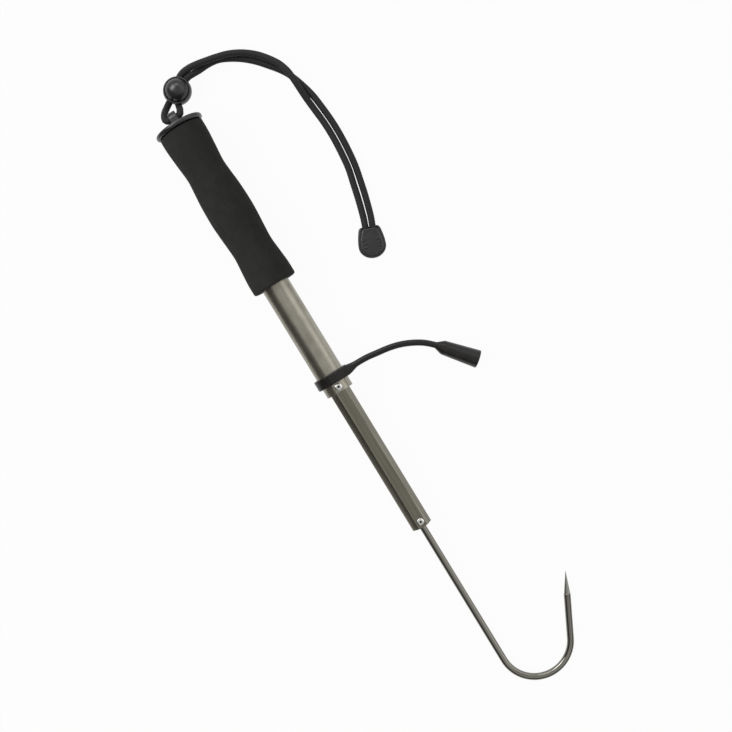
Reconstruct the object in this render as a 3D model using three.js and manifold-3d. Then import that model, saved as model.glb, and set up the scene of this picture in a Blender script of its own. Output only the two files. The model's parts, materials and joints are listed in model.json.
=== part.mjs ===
// Telescopic fishing gaff, drawn out to its stops and lying on its side.
// Millimetres. +X runs along the shaft from the butt to the hook, +Y towards the hook's open side, +Z up.
// Each section is modelled along the shaft's own X axis, and the whole shaft leans down towards the hook.

import * as THREE from 'three';
import { mergeVertices } from 'three/addons/utils/BufferGeometryUtils.js';
import Module from 'manifold-3d';

const wasm = await Module();
wasm.setup();

// Fits shared by all the pieces
const seatGap = 0.3;
const slideGap = 0.3;
const cutOverrun = 1;
const weldDistance = 0.001;
const roundSides = 40;
const smallSides = 20;
const cornerSteps = 4;
const ballSteps = 12;

// Handle tube
const handleTubeRadius = 12.5;
const handleTubeWall = 1.2;
const handleTubeLength = 261.5;

// Butt cap: flange, plug inside the tube, lug for the lanyard
const flangeRadius = 21.95;
const flangeThickness = 4.3;
const flangeEdgeRadius = 1.9;
const plugLength = 18;
const plugWall = 2.4;
const lugRadius = 6.4;
const lugWidth = 7.2;
const lugEyeRadius = 3.9;
const lugEyeSetback = 6.2;
const lugEdgeRadius = 0.9;

// Foam grip: its radii, and its outline as shares of its length and of its swell above the waist
const gripLength = 154.3;
const gripRadius = 20.2;
const gripWaistRadius = 17.7;
const gripCornerRadius = 1.8;
const gripOutlineShares = [
  [0, 0.96], [0.07, 0.94], [0.168, 0.48], [0.262, 0.02], [0.335, 0.3], [0.41, 0.71], [0.53, 0.95],
  [0.6, 0.8], [0.7, 0.36], [0.765, 0.19], [0.84, 0.55], [0.925, 0.98], [1, 1],
];
const gripOutlineSteps = 22;

// Bush in the handle tube's mouth
const mouthBushLength = 30;

// Hexagonal middle tube
const hexTubeFlats = 16;
const hexTubeWall = 1.2;
const hexTubeShown = 136.9;
const hexTubeCornerRadius = 0.9;
const hexTubeRoll = 5;

// Piston on the middle tube's inner end
const hexStopLength = 12;
const hexStopSpigotLength = 13;
const hexStopGrooveDepth = 0.8;
const hexStopGrooveWidth = 3;

// Bush in the middle tube's outer end
const hookBushLength = 25;

// Blind rivets
const rivetShankRadius = 1.6;
const rivetHeadRadius = 3.25;
const rivetHeadHeight = 1.2;
const rivetHoleRadius = 0.7;
const rivetHoleDepth = 0.8;
const tubeRivetSetback = 4.5;
const hexRivetSetback = 5.1;
const rivetBlindDepth = 2.4;

// Cross pins
const crossPinRadius = 1.25;
const crossPinInset = 0.2;

// Hook rod
const hookRodRadius = 3;
const hookRodShown = 138;
const hookBendRadius = 31.4;
const hookBendAngle = 153.3;
const hookShankLength = 39.2;
const hookPointLength = 19.7;
const hookPointRadius = 2.8;
const hookPointRootLength = 1;
const hookRodSides = 16;
const hookBendSteps = 26;

// Collar on the hook rod's inner end
const rodStopLength = 12;
const rodStopChamfer = 0.8;

// Tip guard: ring on the handle tube, flat strap, round arm and hollow cap
const guardSetback = 13.2;
const guardRingWidth = 9.3;
const guardRingWall = 2.9;
const guardEdgeRadius = 0.7;
const guardStrapThickness = 3.2;
const guardStrapReach = 16;
const guardArmRadius = 2.75;
const guardReach = 116.9;
const guardSweep = 52.3;
const guardArmHeightAtCap = 7.6;
const guardPathShares = [
  [0.21, -0.01, 0.97], [0.295, -0.005, 0.91], [0.38, 0.02, 0.82], [0.47, 0.05, 0.7], [0.555, 0.1, 0.55],
  [0.637, 0.18, 0.36], [0.713, 0.285, 0.17], [0.778, 0.42, 0],
];
const guardRoundingShares = [0.15, 0.28];
const guardStrapSquareness = 0.35;
const guardArmSteps = 30;
const guardArmSides = 16;
const capSides = 28;
const capNeckLength = 6.8;
const capShoulderRadius = 6.2;
const capMouthRadius = 8;
const capLipRadius = 0.6;
const capSocketDepth = 27;
const capSocketRadius = 3.5;
const capFunnelDepth = 8;
const capFunnelRadius = 5.6;

// Ball cord lock: cup, domed plunger and spring, all about an upright axis
const lockRadius = 12.4;
const lockFootRadius = 2.6;
const lockRimHeight = 4;
const lockSides = 32;
const lockRecessDepth = 1.9;
const lockHoleDrop = 1.8;
const lockHoleClearance = 0.4;
const lockStraightLength = 5.8;
const lockHoleSpread = 4.2;
const lockHoleRise = 0.6;
const lockBoreRadius = 8.4;
const lockBoreDepth = 8;
const lockSpringWellRadius = 3.5;
const lockSpringWellDepth = 2.6;
const lockTravel = 1.3;
const buttonRadius = 10.4;
const buttonSkirtOverlap = 0.3;
const buttonBridge = 1.2;
const springWireRadius = 0.25;
const springWireSides = 5;
const springTurns = 3;
const springStepsPerTurn = 10;

// Braided cord, doubled through the lug's eye
const cordRadius = 3;
const cordSides = 8;
const strandSpacing = 6.3;
const strandSteps = 40;
const loopSteps = 44;

// Clip on the cord's ends: outline in shares of half its length and half its width, rim to rim
const clipLength = 28;
const clipWidth = 24.2;
const clipTopWidth = 17.9;
const clipTopCornerRadius = 3.2;
const clipWidestShare = 0.617;
const clipShoulderShare = 0.284;
const clipSwellShare = 0.562;
const clipBaseThickness = 4.6;
const clipLidThickness = 4.4;
const clipLidInset = 2.4;
const clipEdgeRadius = 1;
const clipWall = 1.6;
const clipPocketShare = 0.55;
const clipRidgeWidth = 1.2;
const clipRidgeHeight = 0.5;
const clipRidgeLength = 4.4;
const clipRidgePitch = 3.2;
const clipRidgeCount = 3;
const clipMouthWidth = 13.6;
const clipMouthHeight = 6.7;
const knotLength = 9;
const knotWidth = 11;
const knotHeight = 5.4;

// Places on the ground, measured from below the butt face: the cord lock, the clip and the cord's route
const lockPlace = [-29.5, 14.6];
const lockHoleDirection = [-0.62, 0.785];
const clipPlace = [168.9, 90.9];
const clipDirection = [0.934, -0.357];
const leftStrandRoute = [
  [-32.1, 12.8, 10.3], [-36.9, 18.9, 10.3], [-40, 22.9, 10.3], [-41.7, 27.6, 10.8], [-41.9, 35, 11.1],
  [-40.9, 42.8, 10.5], [-39.6, 50.8, 9.8], [-37.8, 59.1, 9.6], [-35, 69.2, 9.2], [-29.4, 80.5, 8.4],
  [-21.6, 90.4, 7.7], [-11.9, 98.3, 7.9], [-4.1, 102.7, 8.8], [3.6, 105.1, 9.6], [10.5, 106, 9.6],
  [19.1, 106.5, 8.6], [28.7, 107, 6.1], [35.7, 107.6, 4.3], [43.5, 108.4, 3.1], [58.1, 109.6, 3.1],
  [71.9, 109.8, 3.1], [87.5, 108.9, 3.1], [103, 107.1, 3.1], [118.2, 103.5, 3.1], [130.1, 100.6, 3.1],
  [147.2, 95.7, 3.8], [153.7, 93.3, 4.7], [157.9, 91.7, 4.8], [161.9, 90.2, 4.8],
];
const rightStrandRoute = [
  [-27.2, 16.7, 10.3], [-33.2, 24.4, 10.3], [-35, 28.4, 10.3], [-36, 34, 8.7], [-37.1, 40, 5.4],
  [-38.1, 49.6, 3.3], [-37, 58.7, 3.1], [-32.8, 68.1, 3.1], [-26.2, 78.1, 3.1], [-18.2, 86.9, 3.1],
  [-9.1, 94.7, 3.1], [-2.4, 100, 3.1], [3.9, 104.1, 3.1], [10.2, 107, 3.1], [18.7, 110, 3.1],
  [28.1, 112.6, 3.1], [34.9, 113.9, 3.1], [42.8, 114.8, 3.1], [57.9, 116, 3.1], [72.1, 116.2, 3.1],
  [88.1, 115.3, 3.1], [104, 113.4, 3.1], [119.7, 110, 3.1], [131.6, 107.1, 3.1], [149.5, 101.8, 3.8],
  [156, 99.2, 4.7], [160.2, 97.6, 4.8], [164.2, 96.1, 4.8],
];
const loopRoute = [
  [-31.85, 12.49, 10.3], [-27.65, 7.14, 10.3], [-25.27, 3.67, 10.3], [-23.6, 1.3, 11.1], [-21.4, -1, 13.1],
  [-19.2, -3, 15.9], [-16.8, -4.7, 18.9], [-14.3, -6, 21.6], [-11.8, -6.9, 23.4], [-9.7, -7, 24.8],
  [-8.1, -6.2, 25.9], [-7.1, -4.6, 26.55], [-6.75, -2.6, 26.8], [-6.7, 0, 26.8], [-6.75, 2.6, 26.8],
  [-7.05, 4.6, 26.4], [-7.8, 6.2, 25.4], [-8.9, 7, 24], [-10.4, 7.4, 21.8], [-12.1, 7.8, 19],
  [-13.5, 8.2, 16.3], [-14.9, 8.4, 13.6], [-16.3, 8.5, 11.6], [-18.2, 8.8, 10.5], [-20.4, 9.5, 10.2],
  [-22.49, 10.96, 10.3], [-26.9, 16.4, 10.3],
];

// Materials
function finish(color, roughness, metalness) {
  return new THREE.MeshStandardMaterial({ color, roughness, metalness });
}

const anodised = finish('#8c897b', 0.38, 0.9);
const anodisedHex = finish('#7d7a6c', 0.4, 0.9);
const stainless = finish('#a3a19a', 0.25, 1);
const rivetAluminium = finish('#d6d6d2', 0.35, 0.9);
const pinSteel = finish('#8d8f90', 0.35, 1);
const foam = finish('#262625', 0.95, 0);
const mouldedBlack = finish('#1b1b1c', 0.35, 0);
const bushPlastic = finish('#2a2a2b', 0.5, 0);
const guardRubber = finish('#1c1b1c', 0.5, 0);
const braid = finish('#1d1d1e', 0.9, 0);

// Places along the shaft, measured from the butt face
const handleTubeStart = flangeThickness + seatGap;
const gripStart = flangeThickness + seatGap;
const mouth = handleTubeStart + handleTubeLength;
const mouthBushStart = mouth - mouthBushLength;
const hexTubeStart = mouthBushStart;
const hexTubeEnd = mouth + hexTubeShown;
const hookBushStart = hexTubeEnd - hookBushLength;
const rodStopStart = hookBushStart - seatGap - rodStopLength;
const bendStart = hexTubeEnd + hookRodShown;
const guardPlace = mouth - guardSetback;
const tubeRivetPlace = mouth - tubeRivetSetback;
const hexRivetPlace = hexTubeEnd - hexRivetSetback;
const hexStopPinPlace = hexTubeStart + hexStopSpigotLength / 2;
const rodStopPinPlace = rodStopStart + rodStopLength / 2;

// Radii that follow from the tubes
const handleBoreRadius = handleTubeRadius - handleTubeWall;
const hexBoreFlats = hexTubeFlats - 2 * hexTubeWall;
const mouthBushFlats = hexTubeFlats + 2 * slideGap;
const crossPinHoleRadius = crossPinRadius + seatGap;
const rivetHoleInPart = rivetShankRadius + seatGap;
const hookBoreRadius = hookRodRadius + slideGap;
const hookPointDrop = hookRodRadius - hookPointRadius;
const lockFootDepth = Math.sqrt(lockRadius ** 2 - lockFootRadius ** 2);
const lockStemRadius = lockBoreRadius - slideGap;
const stemBottom = -lockHoleDrop - cordRadius - seatGap - buttonBridge;

// The shaft lies on the grip's flared end and on the hook's bend
const flarePlace = gripStart + gripLength - gripCornerRadius;
const contactSpan = bendStart + hookBendRadius - flarePlace;
const contactDistance = Math.hypot(gripRadius, contactSpan);
const shaftLean = Math.atan2(gripRadius, contactSpan) - Math.asin(hookRodRadius / contactDistance);
const buttHeight = gripRadius * Math.cos(shaftLean) + flarePlace * Math.sin(shaftLean);

const axisX = new THREE.Vector3(1, 0, 0);
const axisZ = new THREE.Vector3(0, 0, 1);
const alongShaft = new THREE.Matrix4().makeBasis(new THREE.Vector3(0, 1, 0), axisZ, axisX);

// A closed geometry as a solid that can be joined and cut
function solidOf(geometry) {
  const bare = geometry.index ? geometry.toNonIndexed() : geometry.clone();
  bare.deleteAttribute('normal');
  bare.deleteAttribute('uv');
  const merged = mergeVertices(bare, weldDistance);
  return new wasm.Manifold(new wasm.Mesh({
    numProp: 3,
    vertProperties: merged.attributes.position.array,
    triVerts: new Uint32Array(merged.index.array),
  }));
}

function geometryOf(solid) {
  const mesh = solid.getMesh();
  const geometry = new THREE.BufferGeometry();
  geometry.setAttribute('position', new THREE.BufferAttribute(mesh.vertProperties, 3));
  geometry.setIndex(new THREE.BufferAttribute(mesh.triVerts, 1));
  const faceted = geometry.toNonIndexed();
  faceted.computeVertexNormals();
  return faceted;
}

function joined(first, ...others) {
  return geometryOf(others.reduce((solid, other) => solid.add(solidOf(other)), solidOf(first)));
}

function cut(body, ...tools) {
  return geometryOf(tools.reduce((solid, tool) => solid.subtract(solidOf(tool)), solidOf(body)));
}

// A profile of [radius, distance] turned about the shaft's X axis, or about Z
function turned(profile, sides = roundSides) {
  const points = profile.map(([radius, distance]) => new THREE.Vector2(radius, distance));
  return new THREE.LatheGeometry(points, sides).rotateZ(-Math.PI / 2);
}

function spun(profile, sides = roundSides) {
  const points = profile.map(([radius, height]) => new THREE.Vector2(radius, height));
  return new THREE.LatheGeometry(points, sides).rotateX(Math.PI / 2);
}

// Points of a quarter or other arc, for profiles
function arc(centreRadius, centreDistance, radius, from, to, steps = cornerSteps) {
  return Array.from({ length: steps + 1 }, (_, i) => {
    const angle = THREE.MathUtils.degToRad(from + ((to - from) * i) / steps);
    return [centreRadius + radius * Math.cos(angle), centreDistance + radius * Math.sin(angle)];
  });
}

function tubeProfile(inner, outer, length) {
  return [[inner, 0], [outer, 0], [outer, length], [inner, length], [inner, 0]];
}

function roundBar(radius, length, sides = smallSides) {
  return turned([[0, 0], [radius, 0], [radius, length], [0, length]], sides);
}

// A straight bar along Z, centred on the origin
function crossBar(radius, length, sides = smallSides) {
  return spun([[0, -length / 2], [radius, -length / 2], [radius, length / 2], [0, length / 2]], sides);
}

// A section drawn in Y and Z, run along X from zero
function prism(shape, length, curveSegments = 3) {
  const geometry = new THREE.ExtrudeGeometry(shape, { depth: length, bevelEnabled: false, curveSegments });
  return geometry.applyMatrix4(alongShaft);
}

// A hexagon with flats above and below and rounded corners
function hexagon(flats, cornerRadius) {
  const shape = new THREE.Shape();
  const reach = (flats / 2 - cornerRadius) / Math.cos(Math.PI / 6);
  for (let side = 0; side < 6; side += 1) {
    const angle = (side * Math.PI) / 3;
    const y = reach * Math.cos(angle);
    const z = reach * Math.sin(angle);
    shape.absarc(y, z, cornerRadius, angle - Math.PI / 6, angle + Math.PI / 6, false);
  }
  shape.closePath();
  return shape;
}

function mesh(name, geometry, material, parent, position = [0, 0, 0]) {
  const made = new THREE.Mesh(geometry, material);
  made.name = name;
  made.position.set(...position);
  parent.add(made);
  return made;
}

// Pins and rivets cross the shaft at one place along it
function crossHole(radius, length, place) {
  return crossBar(radius, length).translate(place, 0, 0);
}

function handleTube() {
  const tube = turned(tubeProfile(handleBoreRadius, handleTubeRadius, handleTubeLength));
  const rivetAt = tubeRivetPlace - handleTubeStart;
  return cut(tube, crossHole(rivetHoleInPart, 2 * (handleTubeRadius + cutOverrun), rivetAt));
}

function grip() {
  const outline = new THREE.SplineCurve(gripOutlineShares.map(([along, swell]) => new THREE.Vector2(
    along * gripLength,
    gripWaistRadius + swell * (gripRadius - gripWaistRadius),
  )));
  const bore = handleTubeRadius + seatGap;
  const corner = gripCornerRadius;
  const buttRadius = outline.getPoint(0).y;
  const side = outline.getSpacedPoints(gripOutlineSteps)
    .filter(({ x }) => x > 2 * corner && x < gripLength - 2 * corner)
    .map(({ x, y }) => [y, x]);
  return turned([
    [bore, 0],
    ...arc(buttRadius - corner, corner, corner, -90, 0),
    ...side,
    ...arc(gripRadius - corner, gripLength - corner, corner, 0, 90),
    [bore, gripLength],
    [bore, 0],
  ]);
}

function buttCap() {
  const edge = flangeEdgeRadius;
  const plugRadius = handleBoreRadius - seatGap;
  const plugEnd = flangeThickness + plugLength;
  const coreRadius = plugRadius - plugWall;
  const body = turned([
    [0, 0],
    ...arc(flangeRadius - edge, edge, edge, -90, 0),
    ...arc(flangeRadius - edge, flangeThickness - edge, edge, 0, 90),
    [plugRadius, flangeThickness],
    [plugRadius, plugEnd],
    [coreRadius, plugEnd],
    [coreRadius, flangeThickness],
    [0, flangeThickness],
  ]);
  return cut(joined(body, lug()), crossLugEye());
}

// The lug stands on the flange with its eye's axis along Y, and its edges are rounded
function lug() {
  const shape = new THREE.Shape();
  const radius = lugRadius - lugEdgeRadius;
  shape.moveTo(cutOverrun, radius);
  shape.lineTo(-lugEyeSetback, radius);
  shape.absarc(-lugEyeSetback, 0, radius, Math.PI / 2, (3 * Math.PI) / 2, false);
  shape.lineTo(cutOverrun, -radius);
  shape.closePath();
  const depth = lugWidth - 2 * lugEdgeRadius;
  const geometry = new THREE.ExtrudeGeometry(shape, {
    depth,
    bevelSize: lugEdgeRadius,
    bevelThickness: lugEdgeRadius,
    bevelSegments: 3,
    curveSegments: 12,
  });
  return geometry.translate(0, 0, -depth / 2).rotateX(Math.PI / 2);
}

function crossLugEye() {
  const half = lugWidth / 2;
  const flare = lugEdgeRadius;
  const profile = [
    [0, -half - cutOverrun],
    [lugEyeRadius + flare + cutOverrun, -half - cutOverrun],
    [lugEyeRadius, -half + flare],
    [lugEyeRadius, half - flare],
    [lugEyeRadius + flare + cutOverrun, half + cutOverrun],
    [0, half + cutOverrun],
  ];
  return spun(profile, smallSides).rotateX(Math.PI / 2).translate(-lugEyeSetback, 0, 0);
}

function mouthBush() {
  const outer = handleBoreRadius - seatGap;
  const body = roundBar(outer, mouthBushLength, roundSides);
  const bore = prism(hexagon(mouthBushFlats, slideGap), mouthBushLength + 2 * cutOverrun)
    .translate(-cutOverrun, 0, 0);
  const rivetAt = tubeRivetPlace - mouthBushStart;
  return cut(body, bore, crossHole(rivetHoleInPart, 2 * (outer + cutOverrun), rivetAt));
}

function hexTube() {
  const length = hexTubeEnd - hexTubeStart;
  const shape = hexagon(hexTubeFlats, hexTubeCornerRadius);
  shape.holes.push(hexagon(hexBoreFlats, hexTubeCornerRadius / 2));
  const across = hexTubeFlats + 2 * cutOverrun;
  return cut(
    prism(shape, length),
    crossHole(crossPinHoleRadius, across, hexStopPinPlace - hexTubeStart),
    crossHole(rivetHoleInPart, across, hexRivetPlace - hexTubeStart),
  );
}

// The piston runs in the handle tube and carries a hexagonal spigot inside the middle tube's end
function hexStop() {
  const radius = handleBoreRadius - slideGap;
  const groove = radius - hexStopGrooveDepth;
  const grooveStart = (hexStopLength - hexStopGrooveWidth) / 2;
  const grooveEnd = grooveStart + hexStopGrooveWidth;
  const piston = turned([
    [0, 0],
    [radius, 0],
    [radius, grooveStart],
    [groove, grooveStart],
    [groove, grooveEnd],
    [radius, grooveEnd],
    [radius, hexStopLength],
    [0, hexStopLength],
  ]);
  const spigotLength = hexStopSpigotLength + seatGap + cutOverrun;
  const spigot = prism(hexagon(hexBoreFlats - 2 * seatGap, hexTubeCornerRadius), spigotLength)
    .translate(hexStopLength - cutOverrun, 0, 0);
  const pinAt = hexStopLength + seatGap + hexStopPinPlace - hexTubeStart;
  return cut(joined(piston, spigot), crossHole(crossPinHoleRadius, hexTubeFlats, pinAt));
}

function hookBush() {
  const body = prism(hexagon(hexBoreFlats - 2 * seatGap, hexTubeCornerRadius), hookBushLength);
  const bore = roundBar(hookBoreRadius, hookBushLength + 2 * cutOverrun, hookRodSides)
    .translate(-cutOverrun, 0, 0);
  const rivetAt = hexRivetPlace - hookBushStart;
  const depth = rivetBlindDepth + seatGap;
  const blind = crossBar(rivetHoleInPart, depth + cutOverrun)
    .translate(rivetAt, 0, hexBoreFlats / 2 - seatGap - depth + (depth + cutOverrun) / 2);
  return cut(body, bore, blind, blind.clone().rotateX(Math.PI));
}

// A blind rivet about Z: domed head with the mandrel's hole, standing on a surface at height zero
function rivet(shankLength) {
  const dome = 2 * Math.atan(rivetHeadHeight / rivetHeadRadius);
  const domeRadius = rivetHeadRadius / Math.sin(dome);
  const centre = rivetHeadHeight - domeRadius;
  const holeAngle = Math.asin(rivetHoleRadius / domeRadius);
  const from = 90 - THREE.MathUtils.radToDeg(dome);
  const to = 90 - THREE.MathUtils.radToDeg(holeAngle);
  const rim = arc(0, centre, domeRadius, from, to);
  return spun([
    [0, -shankLength],
    [rivetShankRadius, -shankLength],
    [rivetShankRadius, 0],
    ...rim,
    [rivetHoleRadius, rivetHeadHeight - rivetHoleDepth],
    [0, rivetHeadHeight - rivetHoleDepth],
  ], smallSides);
}

function crossPin(length) {
  return crossBar(crossPinRadius, length, smallSides);
}

// The rod's centre line: straight, one bend, then the shank that leans away from the rod
function hookPath() {
  const turn = THREE.MathUtils.degToRad(hookBendAngle);
  const straight = bendStart - rodStopStart;
  const path = new THREE.CurvePath();
  const start = new THREE.Vector3(straight, 0, 0);
  const onBend = (angle) => new THREE.Vector3(
    straight + hookBendRadius * Math.sin(angle),
    hookBendRadius * (1 - Math.cos(angle)),
    0,
  );
  class Bend extends THREE.Curve {
    getPoint(t) {
      return onBend(t * turn);
    }
  }
  const bendEnd = onBend(turn);
  const shank = new THREE.Vector3(Math.cos(turn), Math.sin(turn), 0);
  const shoulder = bendEnd.clone().addScaledVector(shank, hookShankLength);
  path.add(new THREE.LineCurve3(new THREE.Vector3(), start));
  path.add(new Bend());
  path.add(new THREE.LineCurve3(bendEnd, shoulder));
  const length = path.getLength();
  const bendShare = (hookBendRadius * turn) / length;
  const stations = [0, ...evenStations(hookBendSteps).map((t) => straight / length + t * bendShare), 1];
  return { path, stations, shoulder, shank };
}

function roundSection(radius, sides) {
  return new THREE.Shape(Array.from({ length: sides }, (_, i) => {
    const angle = (i * 2 * Math.PI) / sides;
    return new THREE.Vector2(radius * Math.cos(angle), radius * Math.sin(angle));
  }));
}

function hook() {
  const { path, stations, shoulder, shank } = hookPath();
  const rod = loft(path, stations, hookRodSides, () => ({
    halfWidth: hookRodRadius,
    halfHeight: hookRodRadius,
    power: 1,
  }));
  const turnToShank = new THREE.Quaternion().setFromUnitVectors(axisX, shank);
  const point = turned([
    [0, -hookPointRootLength],
    [hookPointRadius, -hookPointRootLength],
    [hookPointRadius, hookPointDrop],
    [0, hookPointLength],
  ], hookRodSides).applyQuaternion(turnToShank).translate(shoulder.x, shoulder.y, 0);
  const pinAt = rodStopPinPlace - rodStopStart;
  return cut(joined(rod, point), crossHole(crossPinHoleRadius, 2 * (hookRodRadius + cutOverrun), pinAt));
}

function rodStop() {
  const radius = hexBoreFlats / 2 - slideGap;
  const bore = hookRodRadius + seatGap;
  const collar = turned([
    [bore, 0],
    [radius - rodStopChamfer, 0],
    [radius, rodStopChamfer],
    [radius, rodStopLength - rodStopChamfer],
    [radius - rodStopChamfer, rodStopLength],
    [bore, rodStopLength],
    [bore, 0],
  ], smallSides);
  return cut(collar, crossHole(crossPinHoleRadius, 2 * (radius + cutOverrun), rodStopLength / 2));
}

function evenStations(steps) {
  return Array.from({ length: steps + 1 }, (_, i) => i / steps);
}

// A solid swept along a curve whose section changes on the way: half a width, half a height and a squareness
function loft(curve, stations, sides, section) {
  const positions = [];
  const faces = [];
  const steps = stations.length - 1;
  for (const t of stations) {
    const centre = curve.getPoint(t);
    const tangent = curve.getTangent(t);
    const across = new THREE.Vector3().crossVectors(tangent, axisZ).normalize();
    const upward = new THREE.Vector3().crossVectors(across, tangent);
    const { halfWidth, halfHeight, power } = section(t);
    for (let side = 0; side < sides; side += 1) {
      const angle = (side * 2 * Math.PI) / sides;
      const wide = Math.sign(Math.cos(angle)) * Math.abs(Math.cos(angle)) ** power;
      const high = Math.sign(Math.sin(angle)) * Math.abs(Math.sin(angle)) ** power;
      const point = centre.clone()
        .addScaledVector(across, wide * halfWidth)
        .addScaledVector(upward, high * halfHeight);
      positions.push(point.x, point.y, point.z);
    }
  }
  for (let step = 0; step < steps; step += 1) {
    for (let side = 0; side < sides; side += 1) {
      const here = step * sides + side;
      const next = step * sides + ((side + 1) % sides);
      faces.push(here, here + sides, next, next, here + sides, next + sides);
    }
  }
  const last = steps * sides;
  for (let side = 1; side < sides - 1; side += 1) {
    faces.push(0, side, side + 1, last, last + side + 1, last + side);
  }
  const geometry = new THREE.BufferGeometry();
  geometry.setAttribute('position', new THREE.Float32BufferAttribute(positions, 3));
  geometry.setIndex(faces);
  return geometry;
}

// The tip guard about the shaft's axis, with the middle of its ring at X zero
function tipGuard() {
  const bore = handleTubeRadius + seatGap;
  const outer = bore + guardRingWall;
  const edge = guardEdgeRadius;
  const half = guardRingWidth / 2;
  const ring = turned([
    [bore, -half],
    ...arc(outer - edge, edge - half, edge, -90, 0, 2),
    ...arc(outer - edge, half - edge, edge, 0, 90, 2),
    [bore, half],
    [bore, -half],
  ]);
  const strapHeight = bore + guardStrapThickness / 2;
  const mouthHeight = capMouthRadius - axisHeight(guardPlace + guardSweep);
  const mouthCentre = new THREE.Vector3(guardSweep, guardReach, mouthHeight);
  const path = guardPathShares.map(([reach, sweep, height]) => new THREE.Vector3(
    sweep * guardSweep,
    reach * guardReach,
    guardArmHeightAtCap + height * (strapHeight - guardArmHeightAtCap),
  ));
  const neck = path.at(-1);
  const capAxis = mouthCentre.clone().sub(neck).normalize();
  const curve = new THREE.CatmullRomCurve3([
    new THREE.Vector3(0, -guardRingWall, strapHeight),
    new THREE.Vector3(0, guardStrapReach / 2, strapHeight),
    new THREE.Vector3(0, guardStrapReach, strapHeight),
    ...path,
    neck.clone().addScaledVector(capAxis, capNeckLength / 2),
  ]);
  const strap = loft(curve, evenStations(guardArmSteps), guardArmSides, (t) => {
    const round = THREE.MathUtils.smoothstep(t, ...guardRoundingShares);
    return {
      halfWidth: THREE.MathUtils.lerp(half, guardArmRadius, round),
      halfHeight: THREE.MathUtils.lerp(guardStrapThickness / 2, guardArmRadius, round),
      power: THREE.MathUtils.lerp(guardStrapSquareness, 1, round),
    };
  });
  const capLength = mouthCentre.distanceTo(neck);
  const lip = capLipRadius;
  const cap = turned([
    [0, 0],
    [guardArmRadius, 0],
    [capShoulderRadius - lip, capNeckLength - lip],
    [capShoulderRadius, capNeckLength + lip],
    ...arc(capMouthRadius - lip, capLength - lip, lip, 0, 90, 3),
    [capFunnelRadius, capLength],
    [capSocketRadius, capLength - capFunnelDepth],
    [capSocketRadius, capLength - capSocketDepth],
    [0, capLength - capSocketDepth - capSocketRadius / 2],
  ], capSides)
    .applyQuaternion(new THREE.Quaternion().setFromUnitVectors(axisX, capAxis))
    .translate(...neck.toArray());
  return joined(ring, strap, cap);
}

function axisHeight(place) {
  return (buttHeight - place * Math.sin(shaftLean)) / Math.cos(shaftLean);
}

// The cord lock about its upright axis, with its hole along X, so it is turned in place
function lockBody() {
  const rimAngle = THREE.MathUtils.radToDeg(Math.asin(lockRimHeight / lockRadius));
  const footAngle = -THREE.MathUtils.radToDeg(Math.acos(lockFootRadius / lockRadius));
  const recessRadius = buttonRadius + slideGap;
  const cup = spun([
    [0, -lockFootDepth],
    ...arc(0, 0, lockRadius, footAngle, rimAngle, ballSteps),
    [recessRadius, lockRimHeight],
    [recessRadius, lockRimHeight - lockRecessDepth],
    [lockBoreRadius, lockRimHeight - lockRecessDepth],
    [lockBoreRadius, -lockBoreDepth],
    [lockSpringWellRadius, -lockBoreDepth],
    [lockSpringWellRadius, -lockBoreDepth - lockSpringWellDepth],
    [0, -lockBoreDepth - lockSpringWellDepth],
  ], lockSides);
  return cut(cup, lockHole(0), lockHole(Math.PI));
}

// Half of the hole for both strands, flat above and below, round at its sides and spread towards its mouth
function lockHole(turn) {
  const radius = cordRadius + lockHoleClearance;
  const shape = new THREE.Shape();
  shape.absarc(strandSpacing / 2, 0, radius, -Math.PI / 2, Math.PI / 2, false);
  shape.absarc(-strandSpacing / 2, 0, radius, Math.PI / 2, (3 * Math.PI) / 2, false);
  shape.closePath();
  const straight = prism(shape, lockStraightLength + 2 * cutOverrun, 6).translate(-cutOverrun, 0, 0);
  const length = lockRadius - lockStraightLength;
  const spread = (strandSpacing / 2 + radius + lockHoleSpread) / (strandSpacing / 2 + radius);
  const rise = (radius + lockHoleRise) / radius;
  const mouthPiece = prism(shape, length, 6);
  const points = mouthPiece.attributes.position;
  for (let i = 0; i < points.count; i += 1) {
    if (points.getX(i) > length / 2) {
      points.setXYZ(i, points.getX(i), points.getY(i) * spread, points.getZ(i) * rise);
    }
  }
  return joined(straight, mouthPiece.translate(lockStraightLength, 0, 0))
    .translate(0, 0, -lockHoleDrop)
    .rotateZ(turn);
}

function lockButton() {
  const skirtBottom = lockRimHeight - buttonSkirtOverlap;
  const domeBase = lockRadius - buttonRadius;
  const domeStart = THREE.MathUtils.radToDeg(Math.asin((skirtBottom - domeBase) / buttonRadius));
  const button = spun([
    [0, stemBottom],
    [lockStemRadius, stemBottom],
    [lockStemRadius, skirtBottom],
    ...arc(0, domeBase, buttonRadius, domeStart, 90, ballSteps),
  ], lockSides);
  const slotHeight = 2 * (cordRadius + seatGap) + lockTravel;
  const slotWidth = strandSpacing + 2 * (cordRadius + seatGap);
  const slot = new THREE.BoxGeometry(2 * (lockStemRadius + seatGap), slotWidth, slotHeight)
    .translate(0, 0, -lockHoleDrop + lockTravel / 2);
  return cut(button, slot);
}

function lockSpring() {
  const bottom = -lockBoreDepth - lockSpringWellDepth + seatGap + springWireRadius;
  const top = stemBottom - seatGap - springWireRadius;
  const coilRadius = lockSpringWellRadius - seatGap - springWireRadius;
  class Coil extends THREE.Curve {
    getPoint(t) {
      const angle = t * springTurns * 2 * Math.PI;
      return new THREE.Vector3(
        coilRadius * Math.cos(angle),
        coilRadius * Math.sin(angle),
        THREE.MathUtils.lerp(bottom, top, t),
      );
    }
  }
  return new THREE.ExtrudeGeometry(roundSection(springWireRadius, springWireSides), {
    steps: springTurns * springStepsPerTurn,
    extrudePath: new Coil(),
  });
}

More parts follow.
